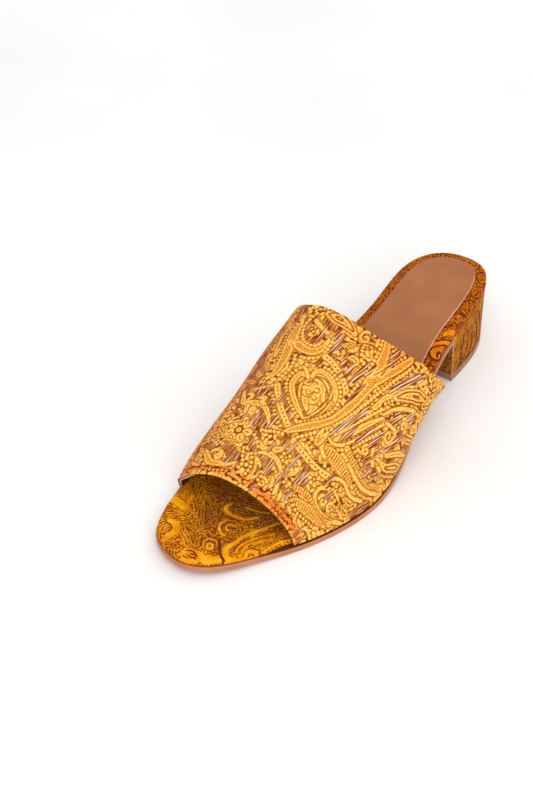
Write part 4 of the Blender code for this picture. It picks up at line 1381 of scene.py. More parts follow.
def figured_brocade(name, figure, ground, outline, silver):
    """Figure and ground are three hex colours each, from deep to light."""
    material, tree = new_material(name)
    cloth = attribute(tree, "cloth", "Vector")
    warp = attribute(tree, "warp", "Vector")
    masks = ragged_masks(tree, cloth, TONES)
    gold_colour, ribs, broad = gold_thread(tree, cloth, attribute(tree, "gold"), figure)
    ticks = multiply_add(tree, stretched_noise(tree, warp, (0.8, 0.8), 1.0), 2.4, -1.2)
    ticks = calculate(tree, "ADD", ticks, lattice(tree, cloth, (0.95, 0.75)))
    fleck = steps(tree, ticks, 0.45, 0.80)
    fleck = times(tree, fleck, multiply_add(tree, broad, 0.45, 0.25))
    gold_colour = blend_colours(tree, fleck, gold_colour, linear(outline))
    ground_colour, floats = ground_thread(tree, warp, ground, figure[1], silver)
    colour = blend_colours(tree, masks["dark"], ground_colour, linear(outline))
    colour = blend_colours(tree, masks["gold"], colour, gold_colour)

    fine = striped(tree, warp, SILVER_PITCH, 0.34, (2.2, 0.11), 1.0)
    stops = ((0.42, ground[0]), (0.49, ground[2]), (0.56, figure[1]), (0.63, silver))
    glint = ramp(tree, fine, stops)
    colour = blend_colours(tree, times(tree, masks["silver"], 0.9), colour, glint)

    height = calculate(tree, "ADD", multiply_add(tree, ribs, 0.6, floats), masks["gold"])
    roughness = steps(tree, masks["gold"], 0.0, 1.0, 0.62, 0.45)
    close_cloth(tree, tinted_by_wear_and_shade(tree, colour), height, roughness)
    return material


VAMP_BROCADE = figured_brocade(
    "vamp_brocade_rayon",
    figure=("D0781A", "EEA438", "FFDC70"),
    ground=("6A2406", "9C4A18", "BA6E34"),
    outline="7A3406",
    silver="E2D2AE",
)
print("brocade:", VAMP_BROCADE.name)

# %% [markdown]
# The vamp piece: the grid of the outer face with the rolls and hems added as rows before and
# after it. The gold figure stands 0.18 mm proud, as the imported weft does on the real cloth.
# Its creases are placed as soft troughs and ridges: the hem's inner edge behind the
# mouth, two shallow bends over the toe joint, and the pull at the outer back corner. The hem
# is tinted deeper, and painted shade darkens the inner side, the hem's inner edge, the outer
# back crease and the instep.

# %% The vamp's brocade
FIGURE_RELIEF = 0.00018
VAMP_CREASES = (
    # height in mm, half width in mm, points across and along the cloth in mm
    (-0.30, 1, ((-45, 4.4), (-30, 4.4), (-12, 4.6), (8, 4.8), (26, 5.2), (42, 5.6), (51, 5.4))),
    (0.10, 1.6, ((-40, 2.2), (-15, 2.4), (12, 2.6), (36, 2.8), (50, 2.6))),
    (-0.34, 3, ((-30, 24), (-16, 30), (0, 33), (16, 31.5), (30, 28))),
    (0.22, 3.2, ((-26, 31), (-12, 37), (3, 40), (18, 38.5))),
    (-0.26, 2.6, ((-34, 42), (-22, 49), (-8, 52))),
    (-0.36, 1.8, ((55, 97), (60, 93.5), (65.5, 88.5), (70, 81.5), (73.5, 73))),
    (0.26, 2.4, ((60, 101), (66, 97), (73, 92), (78, 84))),
    (-0.22, 1.4, ((-40, 93), (-20, 96.5), (0, 95.8), (20, 94.6), (40, 94))),
    (-0.28, 2.2, ((72, 40), (66, 46), (57, 50), (48, 51))),
)
VAMP_WEAR_AND_SHADE = (
    # share, half width in mm, points: the hem, its outer half, painted shade in its crease, painted
    # shade over the instep, and painted shade in the outer back corner's crease
    (0.30, 2, ((-50, 2.6), (-30, 3), (5, 3.2), (30, 3.4), (60, 3.4))),
    (0.34, 2.6, ((10, 1), (26, 1.4), (38, 1.8), (48, 2.4), (60, 3.6))),
    (0.30, 0.7, ((-43, 4.4), (-12, 4.6), (26, 5.2), (50.5, 5.4))),
    (0.14, 10, ((-8, 95), (14, 95), (40, 97), (62, 101))),
    (0.30, 1, ((57, 96), (65.5, 88.5), (72.5, 75))),
)
# shares of painted shade, over the inner side and in the folds of the rolls and by the sole,
# each with the mm of cloth over which it comes in or goes out
INNER_PAINTED_SHADE = 0.34
INNER_RUN = (14.0, 26.0)
FOLD_SHADE = 0.95
TUCK_RUN = (0.5, 1.5)
# rows of each roll left out of the painted shade, mm of cloth for a row of roll or hem, the drop
# of the lowest corners towards the sole, and where along the cloth the leaning warp crosses its
# own place
ROLL_SHOWN = 3
FOLD_STEP = 0.25
TUCK_DROP = 0.9 * CLEARANCE
SLANT_PIVOT = 50


def raise_figure(rows, normals, chart):
    """Lift the gold figure off the ground by its relief."""
    lift = smooth_step(chart.grids()["gold"], -0.3, 0.6)
    fade = np.minimum(np.arange(len(rows)), np.arange(len(rows))[::-1])[:, None] / 3
    return rows + normals * (lift * np.clip(fade, 0, 1) * FIGURE_RELIEF)[..., None]


def vamp_wear_and_shade():
    """Deeper tints: strokes, some painted shade; painted shade on the inner side and by the sole.
    """
    wear = soft_strokes(vamp_across, vamp_along, VAMP_WEAR_AND_SHADE)
    # painted shade: the whole inner side is tinted deeper
    wear += INNER_PAINTED_SHADE * smooth_step(-vamp_across, *INNER_RUN)
    # painted shade in the tuck: the lowest mm of both sides, by the sole, goes dark brown
    low = np.minimum(vamp_across - vamp_across[:, :1], vamp_across[:, -1:] - vamp_across)
    return np.clip(wear + FOLD_SHADE * (1 - smooth_step(low, *TUCK_RUN)), 0, 1)


def make_vamp():
    """The brocade of the vamp, rolled in over its front and back edges."""
    crease = soft_strokes(vamp_across, vamp_along, VAMP_CREASES) * 0.001
    sunk = vamp_outer + vamp_normal * (crease - FIGURE_RELIEF)[..., None]
    face = raise_figure(sunk, vamp_normal, vamp_chart)
    front = hem_rows(1) + roll_rows(vamp_outer[0], vamp_normal[0], -vamp_heading[0])
    back = hem_rows(-1) + roll_rows(vamp_outer[-1], vamp_normal[-1], vamp_heading[-1])
    points = np.array(front + list(face) + back[::-1])
    points[:, (0, -1), 2] -= TUCK_DROP
    before, after = len(front), len(back)
    grids = {**vamp_chart.grids(), "x": vamp_across, "y": vamp_along, "wear": vamp_wear_and_shade()}
    for name, grid in grids.items():
        grids[name] = np.pad(grid, ((before, after), (0, 0)), mode="edge")
    x, y, wear = grids.pop("x"), grids.pop("y"), grids["wear"]
    y[:before] -= np.arange(before, 0, -1)[:, None] * FOLD_STEP
    y[-after:] += np.arange(1, after + 1)[:, None] * FOLD_STEP
    # painted shade in the folds: the turned-in rows of both rolls and the hems go dark brown
    wear[: before - ROLL_SHOWN] = wear[ROLL_SHOWN - after :] = FOLD_SHADE
    cloth = np.stack((x, y, np.zeros_like(x)), axis=-1)
    slanted = x - warp_slant(x) * (y - SLANT_PIVOT)
    warp = np.stack((slanted, y, np.zeros_like(x)), axis=-1)
    piece = wrapped_grid("vamp_brocade", points, [VAMP_BROCADE])
    keep_values(piece, cloth=cloth, warp=warp, **grids)
    settle(piece, "upper")


make_vamp()

# %% [markdown]
# Leather: a cut edge is paler than the face, because the dye sits on the grain side. Where the
# sole's top shows beside the cloth it is darker, partly glue and partly painted shade of the gap
# under the vamp. Calf is smooth to the eye, half matt, with clouds of colour some 15 mm wide.
# Its grain is near 0.4 mm, and is left at that.

# %% Leathers
GRAIN_DEPTH = 0.00008
GLUE_AND_SHADE_LIMITS = (
    # axis, from, to, share left before it: toe, heel and inner side show less of the glue and shade
    ("Y", -0.100, -0.088, 0.25),
    ("Y", 0.030, 0.012, 0.2),
    ("X", -0.004, 0.006, 0.1),
)


def glue_and_shade_line(tree, place):
    """How strongly the glue and painted shade show, on faces that look up."""
    normal = node(tree, "ShaderNodeNewGeometry").outputs["Normal"]
    shown = steps(tree, parts_of(tree, normal)["Z"], 0.80, 0.96)
    parts = parts_of(tree, place)
    for axis, low, high, kept in GLUE_AND_SHADE_LIMITS:
        shown = times(tree, shown, steps(tree, parts[axis], low, high, kept, 1.0))
    return shown


def leather(name, colours, roughness, grain=2200.0, mottle=60.0, top=None):
    """Smooth calf: two close browns in clouds and a fine grain. Top is its glue-and-shade colour.
    """
    material, tree = new_material(name)
    place = node(tree, "ShaderNodeTexCoord").outputs["Object"]
    clouds = node(tree, "ShaderNodeTexNoise", Vector=place, Scale=mottle, Detail=3.0)
    colour = ramp(tree, clouds.outputs["Fac"], ((0.3, colours[0]), (0.7, colours[1])))
    if top:
        colour = blend_colours(tree, glue_and_shade_line(tree, place), colour, linear(top))
    pebble = node(tree, "ShaderNodeTexVoronoi", {"feature": "F1"}, Vector=place, Scale=grain)
    bump = node(
        tree, "ShaderNodeBump",
        Height=pebble.outputs["Distance"], Distance=GRAIN_DEPTH, Strength=0.35,
    )
    close_material(
        tree, Base_Color=colour, Roughness=roughness, Normal=bump.outputs[0], IOR=1.5
    )
    return material


# the lining's browns are darker than its tan leather: painted shade of the inside of the vamp
SHADED_LINING_LEATHER = leather("lining_calf_painted_shade", ("5E3722", "6E4229"), 0.6)
CUT_EDGE = leather("cut_edge_pale", ("DDB09C", "EBC6B4"), 0.75)
SOCK_LEATHER = leather("sock_calf_brown", ("9D5B2B", "A76636"), 0.55)
print("leathers:", SHADED_LINING_LEATHER.name, CUT_EDGE.name, SOCK_LEATHER.name)

# %% [markdown]
# The vamp's lining is glued inside the brocade. It is a coarser grid a little under the outer
# face, thickened by Solidify, whose rim takes the pale cut edge. On the inner side of the
# mouth that edge stands a hair past the roll, and elsewhere the roll hides it.

# %% Vamp lining
LINING_LEAD = ((-24.0, 0.0005), (-10.0, -0.0012))
LINING_BACK_LEAD = 0.0006
LINING_DEPTH = ROLL + 0.00055
LINING_THICKNESS = 0.0007
LINING_STEP = 4


def make_lining():
    """Leather sheet inside the vamp; its cut edge shows past the roll on the inner side only."""
    picks = [0, *range(2, VAMP_ROWS - 2, LINING_STEP), VAMP_ROWS - 1]
    rows, normal, heading = (
        grid[picks, ::LINING_STEP] for grid in (vamp_smooth, vamp_normal, vamp_heading)
    )
    lead = np.interp(vamp_across[0, ::LINING_STEP], *zip(*LINING_LEAD))[:, None]
    rows[0] -= heading[0] * lead
    rows[-1] -= heading[-1] * LINING_BACK_LEAD
    piece = wrapped_grid("vamp_lining", rows - normal * LINING_DEPTH, [SHADED_LINING_LEATHER, CUT_EDGE])
    wall = piece.modifiers.new("wall", "SOLIDIFY")
    wall.thickness = LINING_THICKNESS
    wall.offset = -1
    wall.material_offset_rim = 1
    settle(piece, "upper")


make_lining()

# %% [markdown]
# The footbed is a board wrapped in the same brocade in a deeper mustard. Its grid runs from
# the middle of the underside, round the soft edge, to the middle line of the top, so the
# whole board is closed and the cloth's own coordinates are simply the plan of the shoe,
# unrolled outward down the edge.

# %% The covered footbed
BOARD_STATIONS = 450
BOARD_WALL_ROWS = 5
BOARD_TOP_ROWS = 79
BOARD_TUCK = 0.002


def wrapped_board(rows, stations, front=None):
    """Points of a board for rows of inset, height and share of the way to the middle line."""
    points = []
    for inset, height, share in rows:
        lateral_x, medial_x, y = edge_pairs(inset, stations, front)
        middle = (lateral_x + medial_x) / 2
        lateral = np.stack((lateral_x + (middle - lateral_x) * share, y, height(y)), axis=1)
        medial = np.stack((medial_x + (middle - medial_x) * share, y, height(y)), axis=1)
        points.append(np.concatenate((lateral, medial[::-1][1:])))
    return np.array(points)


def rounded(inset, top, radius, degrees):
    """Rows over an upper edge, at some angles of a quarter circle from the side to the top."""
    rows = []
    for angle in np.radians(degrees):
        drop = radius * (1 - math.sin(angle))
        inward = radius * (1 - math.cos(angle))
        rows.append((inset(inward), lambda y, drop=drop: top(y) - drop, 0.0))
    return rows


def footbed_underside(y):
    """Height of the board's underside, a glue line above the outsole."""
    return bed_height(y) + CLEARANCE


def footbed_rows():
    """Rows of the covered board, every half millimetre where they show."""
    rows = [
        (footbed_inset(BOARD_TUCK), footbed_underside, 1.0),
        (footbed_inset(BOARD_TUCK), footbed_underside, 0.0),
        (footbed_inset(SOLE_EDGE_ROUND), footbed_underside, 0.0),
    ]
    for share in np.linspace(0, 1, BOARD_WALL_ROWS):
        def side(y, share=share):
            foot = footbed_underside(y) + SOLE_EDGE_ROUND
            return foot + (footbed_top(y) - FOOTBED_EDGE_ROUND - foot) * share

        rows.append((footbed_inset(0.0), side, 0.0))
    rows += rounded(footbed_inset, footbed_top, FOOTBED_EDGE_ROUND, (20, 40, 60, 80, 90))
    for share in np.linspace(0, 1, BOARD_TOP_ROWS)[1:]:
        rows.append((footbed_inset(FOOTBED_EDGE_ROUND), footbed_top, share))
    return rows


def plan_cloth(points):
    """Cloth coordinates of a board in mm: its plan, unrolled outward over the edge."""
    plan = points[..., :2]
    fall = lengths(points, 0)
    run = lengths(plan, 0)
    top = np.argmax(points[..., 2] > points[-1:, :, 2] - 2e-5, axis=0)
    edge = top, np.arange(points.shape[1])
    extra = (fall[edge] - fall) - (run[edge] - run)
    heading = plan[edge] - plan[-1]
    heading /= np.maximum(np.linalg.norm(heading, axis=-1), 1e-9)[:, None]
    return (plan + heading * np.maximum(extra, 0)[..., None]) * 1000


footbed_points = wrapped_board(footbed_rows(), BOARD_STATIONS)
footbed_cloth = plan_cloth(footbed_points)
print("footbed cloth, in mm:", np.round(footbed_cloth.reshape(-1, 2).min(axis=0), 1))

# %% [markdown]
# This brocade is the same weave in deeper mustard, and finer: broken brown lines echo round
# each paisley drop like ripples. The drops are charted one by one. Each corner keeps its
# distance from the nearest drop and its way round it, and the material draws the ripples
# from those two lengths.

# %% Ripples round the drops
# in mm: spacing of a drop's samples, way gained by a radian of turn, a start that keeps the
# distance above 0, and half the beat of the marks between two ripples
RIPPLE_SPACING = 0.8
TURN_WAY = 3.4
RIPPLE_START = 40
BEAT = 0.75


def ripples(across, along, drops, dense):
    """Distance from the nearest drop, way round it, and how dense its lines are.

    A drop has widths, points and a stretch: below 1 its ripples are wider apart.
    """
    place = np.stack((across.ravel(), along.ravel()), axis=1)
    each = np.arange(len(place))
    nearest = np.full(len(place), 1e6)
    way_round = np.zeros(len(place))
    for widths, points, stretch in drops:
        samples = trace(points, RIPPLE_SPACING)
        half = tapered(len(samples), widths) / 2
        heading = np.gradient(samples, axis=0)
        facing = np.arctan2(heading[:, 1], heading[:, 0])
        away = place[:, None] - samples
        gap = (np.hypot(away[..., 0], away[..., 1]) - half) * stretch
        closest = gap.argmin(axis=1)
        gap, away = gap[each, closest], away[each, closest]
        turn = np.arctan2(away[:, 1], away[:, 0]) - facing[closest]
        turn = (turn + math.pi) % (2 * math.pi) - math.pi
        better = gap < nearest
        nearest[better] = gap[better]
        way_round[better] = ((closest * RIPPLE_SPACING + turn * TURN_WAY) * stretch)[better]
    fields = nearest + RIPPLE_START, way_round, np.clip(dense, 0, 1)
    return np.dstack([field.reshape(across.shape) for field in fields])


def rippled_brocade(name, figure, dark, light, pitch):
    """Three golds, a dark and a light brown, with ripples of dark lines at a pitch in mm."""
    material, tree = new_material(name)
    cloth = attribute(tree, "cloth", "Vector")
    echo = attribute(tree, "echo", "Vector")
    away, way_round, dense = parts_of(tree, echo)
    masks = ragged_masks(tree, cloth, ("dark", "silver"))
    off_gold = steps(tree, attribute(tree, "gold"), 0.3, -0.3)

    sway = stretched_noise(tree, cloth, (0.5, 0.5))
    far = multiply_add(tree, sway, 1.8, away)
    line = calculate(tree, "PINGPONG", far, pitch / 2)
    width = multiply_add(tree, dense, 0.20, 0.23)
    drawn = steps(tree, calculate(tree, "SUBTRACT", width, line), -0.13, 0.11)
    fitted = node(tree, "ShaderNodeMapping", Vector=echo, Scale=(0.6, 0.7, 0.0)).outputs[0]
    broken = node(tree, "ShaderNodeTexNoise", Vector=fitted, Scale=1.0, Detail=1.0)
    lines = times(tree, drawn, steps(tree, broken.outputs["Fac"], 0.38, 0.46))

    between = calculate(tree, "PINGPONG", calculate(tree, "ADD", far, pitch / 2), pitch / 2)
    beat = calculate(tree, "PINGPONG", way_round, BEAT)
    reach = calculate(tree, "ADD", times(tree, between, between), times(tree, beat, beat))
    marks = times(tree, steps(tree, reach, 0.16, 0.05), steps(tree, dense, 0.2, 0.6))
    woven = times(tree, calculate(tree, "MAXIMUM", lines, marks), off_gold)
    brown = calculate(tree, "MAXIMUM", woven, masks["dark"])

    ribs = stretched_noise(tree, cloth, (2.6, 1.0))
    half_ribs = times(tree, ribs, 0.5)
    tone = multiply_add(tree, stretched_noise(tree, cloth, (0.14, 0.14)), 0.7, half_ribs)
    gold_colour = ramp(tree, tone, ((0.44, figure[0]), (0.60, figure[1]), (0.76, figure[2])))
    # dense lines mute the gold to light brown: partly the pattern, partly painted shade
    muted = times(tree, steps(tree, dense, 0.40, 1.0, 0.05, 0.6), off_gold)
    gold_colour = blend_colours(tree, muted, gold_colour, linear(light))
    brown_colour = ramp(tree, ribs, ((0.48, dark), (0.80, light)))
    colour = blend_colours(tree, brown, gold_colour, brown_colour)
    speck = steps(tree, stretched_noise(tree, cloth, (1.5, 1.5), 0.0), 0.68, 0.76)
    speck = times(tree, speck, steps(tree, dense, 0.65, 1.0, 0.0, 0.8))
    colour = blend_colours(tree, speck, colour, linear("C9B79C"))
    colour = blend_colours(tree, masks["silver"], colour, linear("CFC4B4"))

    height = calculate(tree, "SUBTRACT", half_ribs, brown)
    close_cloth(tree, tinted_by_wear_and_shade(tree, colour), height, 0.6, 0.05)
    return material


FOOTBED_BROCADE = rippled_brocade(
    "footbed_brocade_rayon", ("CE7604", "EE960A", "FDAE22"), "682002", "9C5010", 1.6
)
print("brocade of the footbed:", FOOTBED_BROCADE.name)

# %% [markdown]
# The drops and the bold strokes of the footbed follow the photo at the toe and along the
# outer waist: smooth gold hooks and bands at the toe's rim, and a dark spiral under a long
# arc at the waist. The rim under the vamp and on the inner side repeats the same drops.

# %% Chart of the footbed
TOE_DROPS = (
    # widths, points: plan of the shoe in mm, from the back of the heel
    ((5, 6, 3), ((-8, -202.6), (0, -200.6), (9, -196))),
    ((4, 5, 3), ((12.5, -225), (13, -217), (18, -207))),
    ((3, 2), ((-1, -214.6), (3.5, -213))),
    ((1.6, 1.6), ((0.5, -230.2), (1.6, -229.8))),
    ((2.5, 4.5, 2.5), ((-20, -206), (-14, -211), (-10, -219))),
    ((2, 2), ((20, -222), (20.8, -221.4))),
    ((2.5, 2), ((-20.5, -232.5), (-19, -236))),
    ((3, 3), ((-2.5, -239.2), (1.5, -239))),
    ((2, 4, 2), ((-16, -226), (-10, -228.5), (-6, -233))),
    ((2.5, 4), ((-32, -200), (-30, -207))),
    ((2, 3), ((24, -208), (29, -199))),
    ((3, 5, 3), ((-24, -194), (-14, -191), (-4, -187))),
    ((3, 5, 3), ((8, -186), (16, -190), (24, -186))),
    ((4, 6, 3), ((-20, -176), (-8, -172), (4, -176))),
)
WAIST_DROPS = (
    ((3, 3), ((26.6, -73.8), (28.4, -73.4))),
    ((2.5, 2.5), ((24.5, -57.5), (25.5, -56.5))),
    ((2.5, 2.5), ((21, -47.5), (23, -48.5))),
    ((2, 3), ((22, -35), (24, -38))),
)
TOE_STROKES = (
    ("gold", 4.6, ((-33.6, -214), (-29.4, -214.2), (-25.2, -215.3))),
    ("gold", (3, 4.4, 4, 2.6), ((-24.6, -226.7), (-21, -227.4), (-18.6, -230.9), (-18.3, -235.1),
     (-18.4, -239.9))),
    ("gold", (2.4, 4.6, 4.8, 5, 4.4), ((-5.7, -242.3), (-4.8, -238.6), (-0.7, -237.8),
     (3.9, -238.4), (7, -237.2), (9.7, -234.2))),
    ("gold", 3, ((-3.3, -244.9), (0.1, -243.9), (2.9, -242.6))),
    ("gold", (1.2, 1.6, 1.8, 2, 2.4, 2.6, 3.2, 2.4), ((20.8, -194.4), (17, -198.9), (13.6, -205.4),
     (11.3, -210.7), (9.4, -215.9), (9.2, -220.4), (8.2, -225.4), (9.1, -228.4), (12.5, -231.2),
     (16.4, -229.7), (19.3, -226))),
    ("gold", (1.2, 2.2, 2, 1.6, 1.4), ((-9.1, -200.2), (-9.6, -203.7), (-6.8, -206), (-2.4, -206),
     (3, -204.8), (7.1, -200.6))),
    ("gold", 1.2, ((-1.8, -198.3), (4.5, -197.3), (9.9, -195.1))),
    ("gold", 1.3, ((-3.5, -210.4), (-4.5, -213.7), (-3.3, -216.9), (-0.2, -219.7), (2.4, -219.7))),
    ("line", 0.5, ((-1.8, -211), (-2.8, -214.1), (-2.1, -216.3), (0.5, -218.2))),
    ("gold", 1.1, ((2.4, -211.6), (-0.7, -212.5), (-0.9, -214.8), (1, -216.3))),
    ("gold", 2, ((17.9, -224.8), (17, -222.9), (18.6, -220.6), (20.9, -219.9), (22.9, -220.1),
     (21.8, -222), (20.5, -223.8))),
    ("line", 0.6, ((17.3, -225.7), (16, -222.9), (17.2, -219.7), (20.7, -218.8), (23.4, -219))),
    ("line", 0.5, ((19.7, -223.5), (18.9, -222.6), (20.1, -221.3), (21.5, -221.5))),
    ("gold", 1.2, ((-0.1, -230.5), (-0.4, -228.9), (0.6, -228.2), (2.1, -228.9), (2.7, -230.8),
     (1.7, -231.8), (-0.1, -230.5))),
    ("line", 0.5, ((-0.6, -231), (-1.7, -228.5), (-0.2, -226.8), (2.5, -227.6), (4.3, -230.5),
     (3.5, -232.7), (1.2, -232.9))),
    ("gold", 0.9, ((-1.4, -231.6), (-2.9, -228.4), (-1.9, -225.7), (1.6, -225.4), (4.5, -227.9))),
    ("line", 0.5, ((-2.1, -232.1), (-4.3, -228), (-3.2, -224.5), (0.7, -223.8), (4.5, -226.1))),
    ("line", 1.4, ((1.7, -223.4), (5.5, -228.2), (9.2, -231.9), (12.7, -233.7))),
    ("line", 0.9, ((-5.1, -238.6), (-2.7, -237.6), (0.4, -238.8), (0.4, -240.7), (-1.8, -241.5))),
    ("line", 0.9, ((-2.2, -239.4), (-0.6, -239.1))),
    ("line", 0.45, ((-18.4, -241.9), (-12.7, -239.4), (-11, -234.7))),
    ("line", 0.45, ((-16.3, -242.8), (-10.3, -241.2), (-8.9, -236.7))),
    ("line", 0.45, ((-13.9, -243.6), (-8.1, -242.4), (-7.2, -239.5))),
    ("line", 0.45, ((-18.8, -241.3), (-15.2, -238.7), (-14, -233.8))),
    ("line", 0.7, ((-26.1, -229.3), (-23.1, -229), (-20.5, -230.9), (-20.6, -234.4),
     (-21.8, -236.8))),
    ("gold", 1.5, ((-27.3, -206.6), (-25.9, -211.6), (-23.4, -215.6))),
    ("gold", 1.4, ((14.9, -204.6), (12.7, -208.4), (12.5, -212.5))),
    ("gold", 1.3, ((13.3, -225.9), (12.2, -221.1), (13.4, -216.1), (15.8, -211), (20.1, -204.9))),
    ("gold", 1.3, ((16.4, -226.7), (14.5, -219.3), (17.1, -214.2), (21.5, -208.4))),
    ("gold", 1.2, ((23, -217.4), (24, -211.9), (25.9, -206))),
    ("dots", 0.8, ((2.6, -243.1), (5, -241.9), (7.1, -240.3), (9.2, -238.4), (11.2, -236.2))),
    ("dots", 0.8, ((24.4, -217.5), (26, -213.9), (27.9, -208.9), (29.9, -204.8))),
)
WAIST_STROKES = (
    ("gold", 7.5, ((24.5, -70.5), (26.5, -74.5))),
    ("gold", 3.4, ((23, -66.8), (26, -64.4), (28.6, -61.6))),
    ("line", 1, ((21.9, -66.8), (23.5, -64.9), (25.1, -63.9), (27.3, -61.7), (29.3, -59.1))),
    ("line", 1.1, ((21.9, -73.9), (21.9, -72.2), (23.1, -69.8), (25.4, -67.9), (28.5, -64.8),
     (29.8, -64))),
    ("line", (1.2, 1.5, 1.5, 1.4, 1.4), ((21.9, -73.9), (23.7, -75.9), (26.3, -77.2), (28.9, -75.8),
     (30, -72.9), (28.4, -71.5), (26.4, -72.6), (27.4, -74.6))),
    ("gold", 4, ((22.6, -60), (26, -56.5))),
    ("line", 0.6, ((21.6, -59.4), (22.2, -62), (24, -61.9), (25, -60.1), (27.5, -57.6),
     (28.5, -54.2), (27.5, -52.2))),
    ("line", 0.6, ((21.6, -59.4), (22.1, -57.2), (22, -55.1), (24.2, -55), (26.5, -53.2))),
    ("line", 0.6, ((22, -55.1), (21.7, -52.6), (23.5, -52.8))),
    ("line", 0.9, ((23.1, -50.6), (24.8, -51.1), (27.7, -47.7), (27.7, -45.1), (24.8, -47.2))),
    ("dots", 0.8, ((22.8, -63.3), (24.5, -62.8), (25.7, -61), (28.9, -56.5), (28.9, -54.9))),
    ("dots", 0.9, ((19, -41.8), (20.6, -39.6), (23.1, -38.6), (26.6, -35.4))),
    ("line", 0.8, ((19.3, -46.1), (20.2, -43.7), (22.5, -42.7), (25.2, -42), (27.5, -41))),
    ("dots", 0.9, ((18.2, -37.5), (19.3, -34.5), (21.7, -32.7), (24.7, -30.4))),
    ("line", 1, ((25.5, -83.1), (26.2, -81.2), (27.8, -80.3), (30.2, -79.3), (31.5, -80.3))),
    ("dots", 0.8, ((21.5, -50.6), (21.9, -52.1), (20.7, -52.9))),
    ("line", 0.7, ((15.7, -27.4), (18.3, -28.1), (20, -26.1), (20.8, -22.7))),
    ("line", 0.7, ((19.2, -30.6), (21.5, -28.7), (24, -22))),
    ("line", 0.8, ((11, -11.1), (13.9, -13.9), (17.2, -16.5), (20, -15.8))),
    ("line", 0.8, ((17.1, -19.3), (19.6, -19.6), (21.2, -15.7))),
    ("line", 0.7, ((10.3, -6.9), (13.2, -8.8), (15.5, -7.7))),
)
# the rims behind the toe: their drops' line, places and stretch, a darker tint, how dense the lines
# are on the inner and outer side, denser inside partly as painted shade, and the outer waist,
# which has drops of its own
RIM_INSET = 0.0036
RIM_SPAN = (-184, -3, 9)
RIM_STRETCH = 0.72
RIM_SHADE = 0.24
RIM_DENSE_AND_SHADE = (0.40, 0.27)
WAIST_SPAN = (-88, -26)
TOE_END = (-186.0, -176.0)
BED_BASE = 0.40
BED_DENSE_AND_SHADE = (
    # share, half width in mm, points: where the lines crowd, partly painted shade at the vamp's
    # front
    (0.60, 9, ((-30, -194), (-8, -198), (12, -198), (30, -192))),
    (0.50, 7, ((-18, -208), (-8, -216), (4, -210))),
    (0.40, 5.5, ((-10, -226), (2, -227), (14, -214))),
)


def rim_drops():
    """A drop every 9 mm along both rims behind the toe, leaning in turn to toe and heel."""
    lateral_x, medial_x, y = edge_pairs(RIM_INSET, 120)
    clear_from, clear_to = WAIST_SPAN
    drops = []
    for k, at in enumerate(range(*RIM_SPAN)):
        tilt = 2.6 if k % 2 else -2.2
        for side, x in ((1, lateral_x), (-1, medial_x)):
            middle = np.interp(at / 1000, y, x) * 1000
            if side < 0 or at < clear_from or at > clear_to:
                ends = ((middle - 1.6 * side, at - tilt), (middle + 1.8 * side, at + tilt))
                drops.append(((2.4, 1.2), ends, RIM_STRETCH))
    return drops


bed_across, bed_along = footbed_cloth[..., 0], footbed_cloth[..., 1]
footbed_chart = Chart(bed_across, bed_along)
draw(footbed_chart, TOE_STROKES)
draw(footbed_chart, WAIST_STROKES)
behind = smooth_step(bed_along, *TOE_END)
# how dense the lines are: partly the pattern, partly painted shade at the toe and the inner rim
bed_dense_and_shade = BED_BASE + behind * np.where(bed_across < 0, *RIM_DENSE_AND_SHADE)
bed_dense_and_shade += (1 - behind) * soft_strokes(bed_across, bed_along, BED_DENSE_AND_SHADE)
bed_drops = [(*drop, 1.0) for drop in TOE_DROPS]
bed_drops += [(*drop, RIM_STRETCH) for drop in WAIST_DROPS] + rim_drops()
footbed_echo = ripples(bed_across, bed_along, bed_drops, bed_dense_and_shade)


def make_footbed():
    """The board in its brocade."""
    piece = wrapped_grid("footbed_brocade", footbed_points, [FOOTBED_BROCADE])
    cloth = np.dstack((bed_across, bed_along, np.zeros(bed_across.shape)))
    wear = behind * RIM_SHADE
    keep_values(piece, cloth=cloth, echo=footbed_echo, wear=wear, **footbed_chart.grids())
    settle(piece, "footbed")


make_footbed()

# %% [markdown]
# The sock is one thin piece of leather glued on the footbed. Its rim is a knife-cut edge,
# which shows as a fine pale line on the outer side of the photo.

# %% The leather sock
HAIR = 0.00005
SOCK_ROUND = 0.00025
SOCK_STATIONS = 220
SOCK_CUT_ROWS = (1, 5)


def sock_rows():
    """Rows of the sock: underside, cut edge, and the face to its middle line."""
    inset = FOOTBED_MARGIN + SOCK_MARGIN

    def underside(y):
        return footbed_top(y) + HAIR

    def face(y):
        return footbed_top(y) + CLEARANCE + SOCK_THICKNESS

    rows = [(inset + BOARD_TUCK, underside, 1.0), (inset + SOCK_ROUND, underside, 0.0)]
    rows.append((inset, lambda y: underside(y) + SOCK_ROUND, 0.0))
    rows += rounded(lambda inward: inset + inward, face, SOCK_ROUND, (0, 30, 60, 90))
    return rows + [(inset + SOCK_ROUND, face, share) for share in (0.02, 0.2, 0.4, 0.6, 0.8, 1.0)]


def make_sock():
    """The sock, with its cut edge as a second material."""
    points = wrapped_board(sock_rows(), SOCK_STATIONS, front=-SOCK_FRONT)
    piece = wrapped_grid("sock_leather_sheet", points, [SOCK_LEATHER, CUT_EDGE], fill=True)
    row = corner_numbers(piece.data, "row")
    first, last = SOCK_CUT_ROWS
    for face in piece.data.polygons:
        rows = row[list(face.vertices)]
        face.material_index = int(rows.min() >= first and rows.max() <= last)
    settle(piece, "sock")


make_sock()

# %% [markdown]
# The heel block is covered too. Its rings run from the middle of the breast round the back,
# and are drawn straight from the foot up to the seat, with tight folds at both ends.

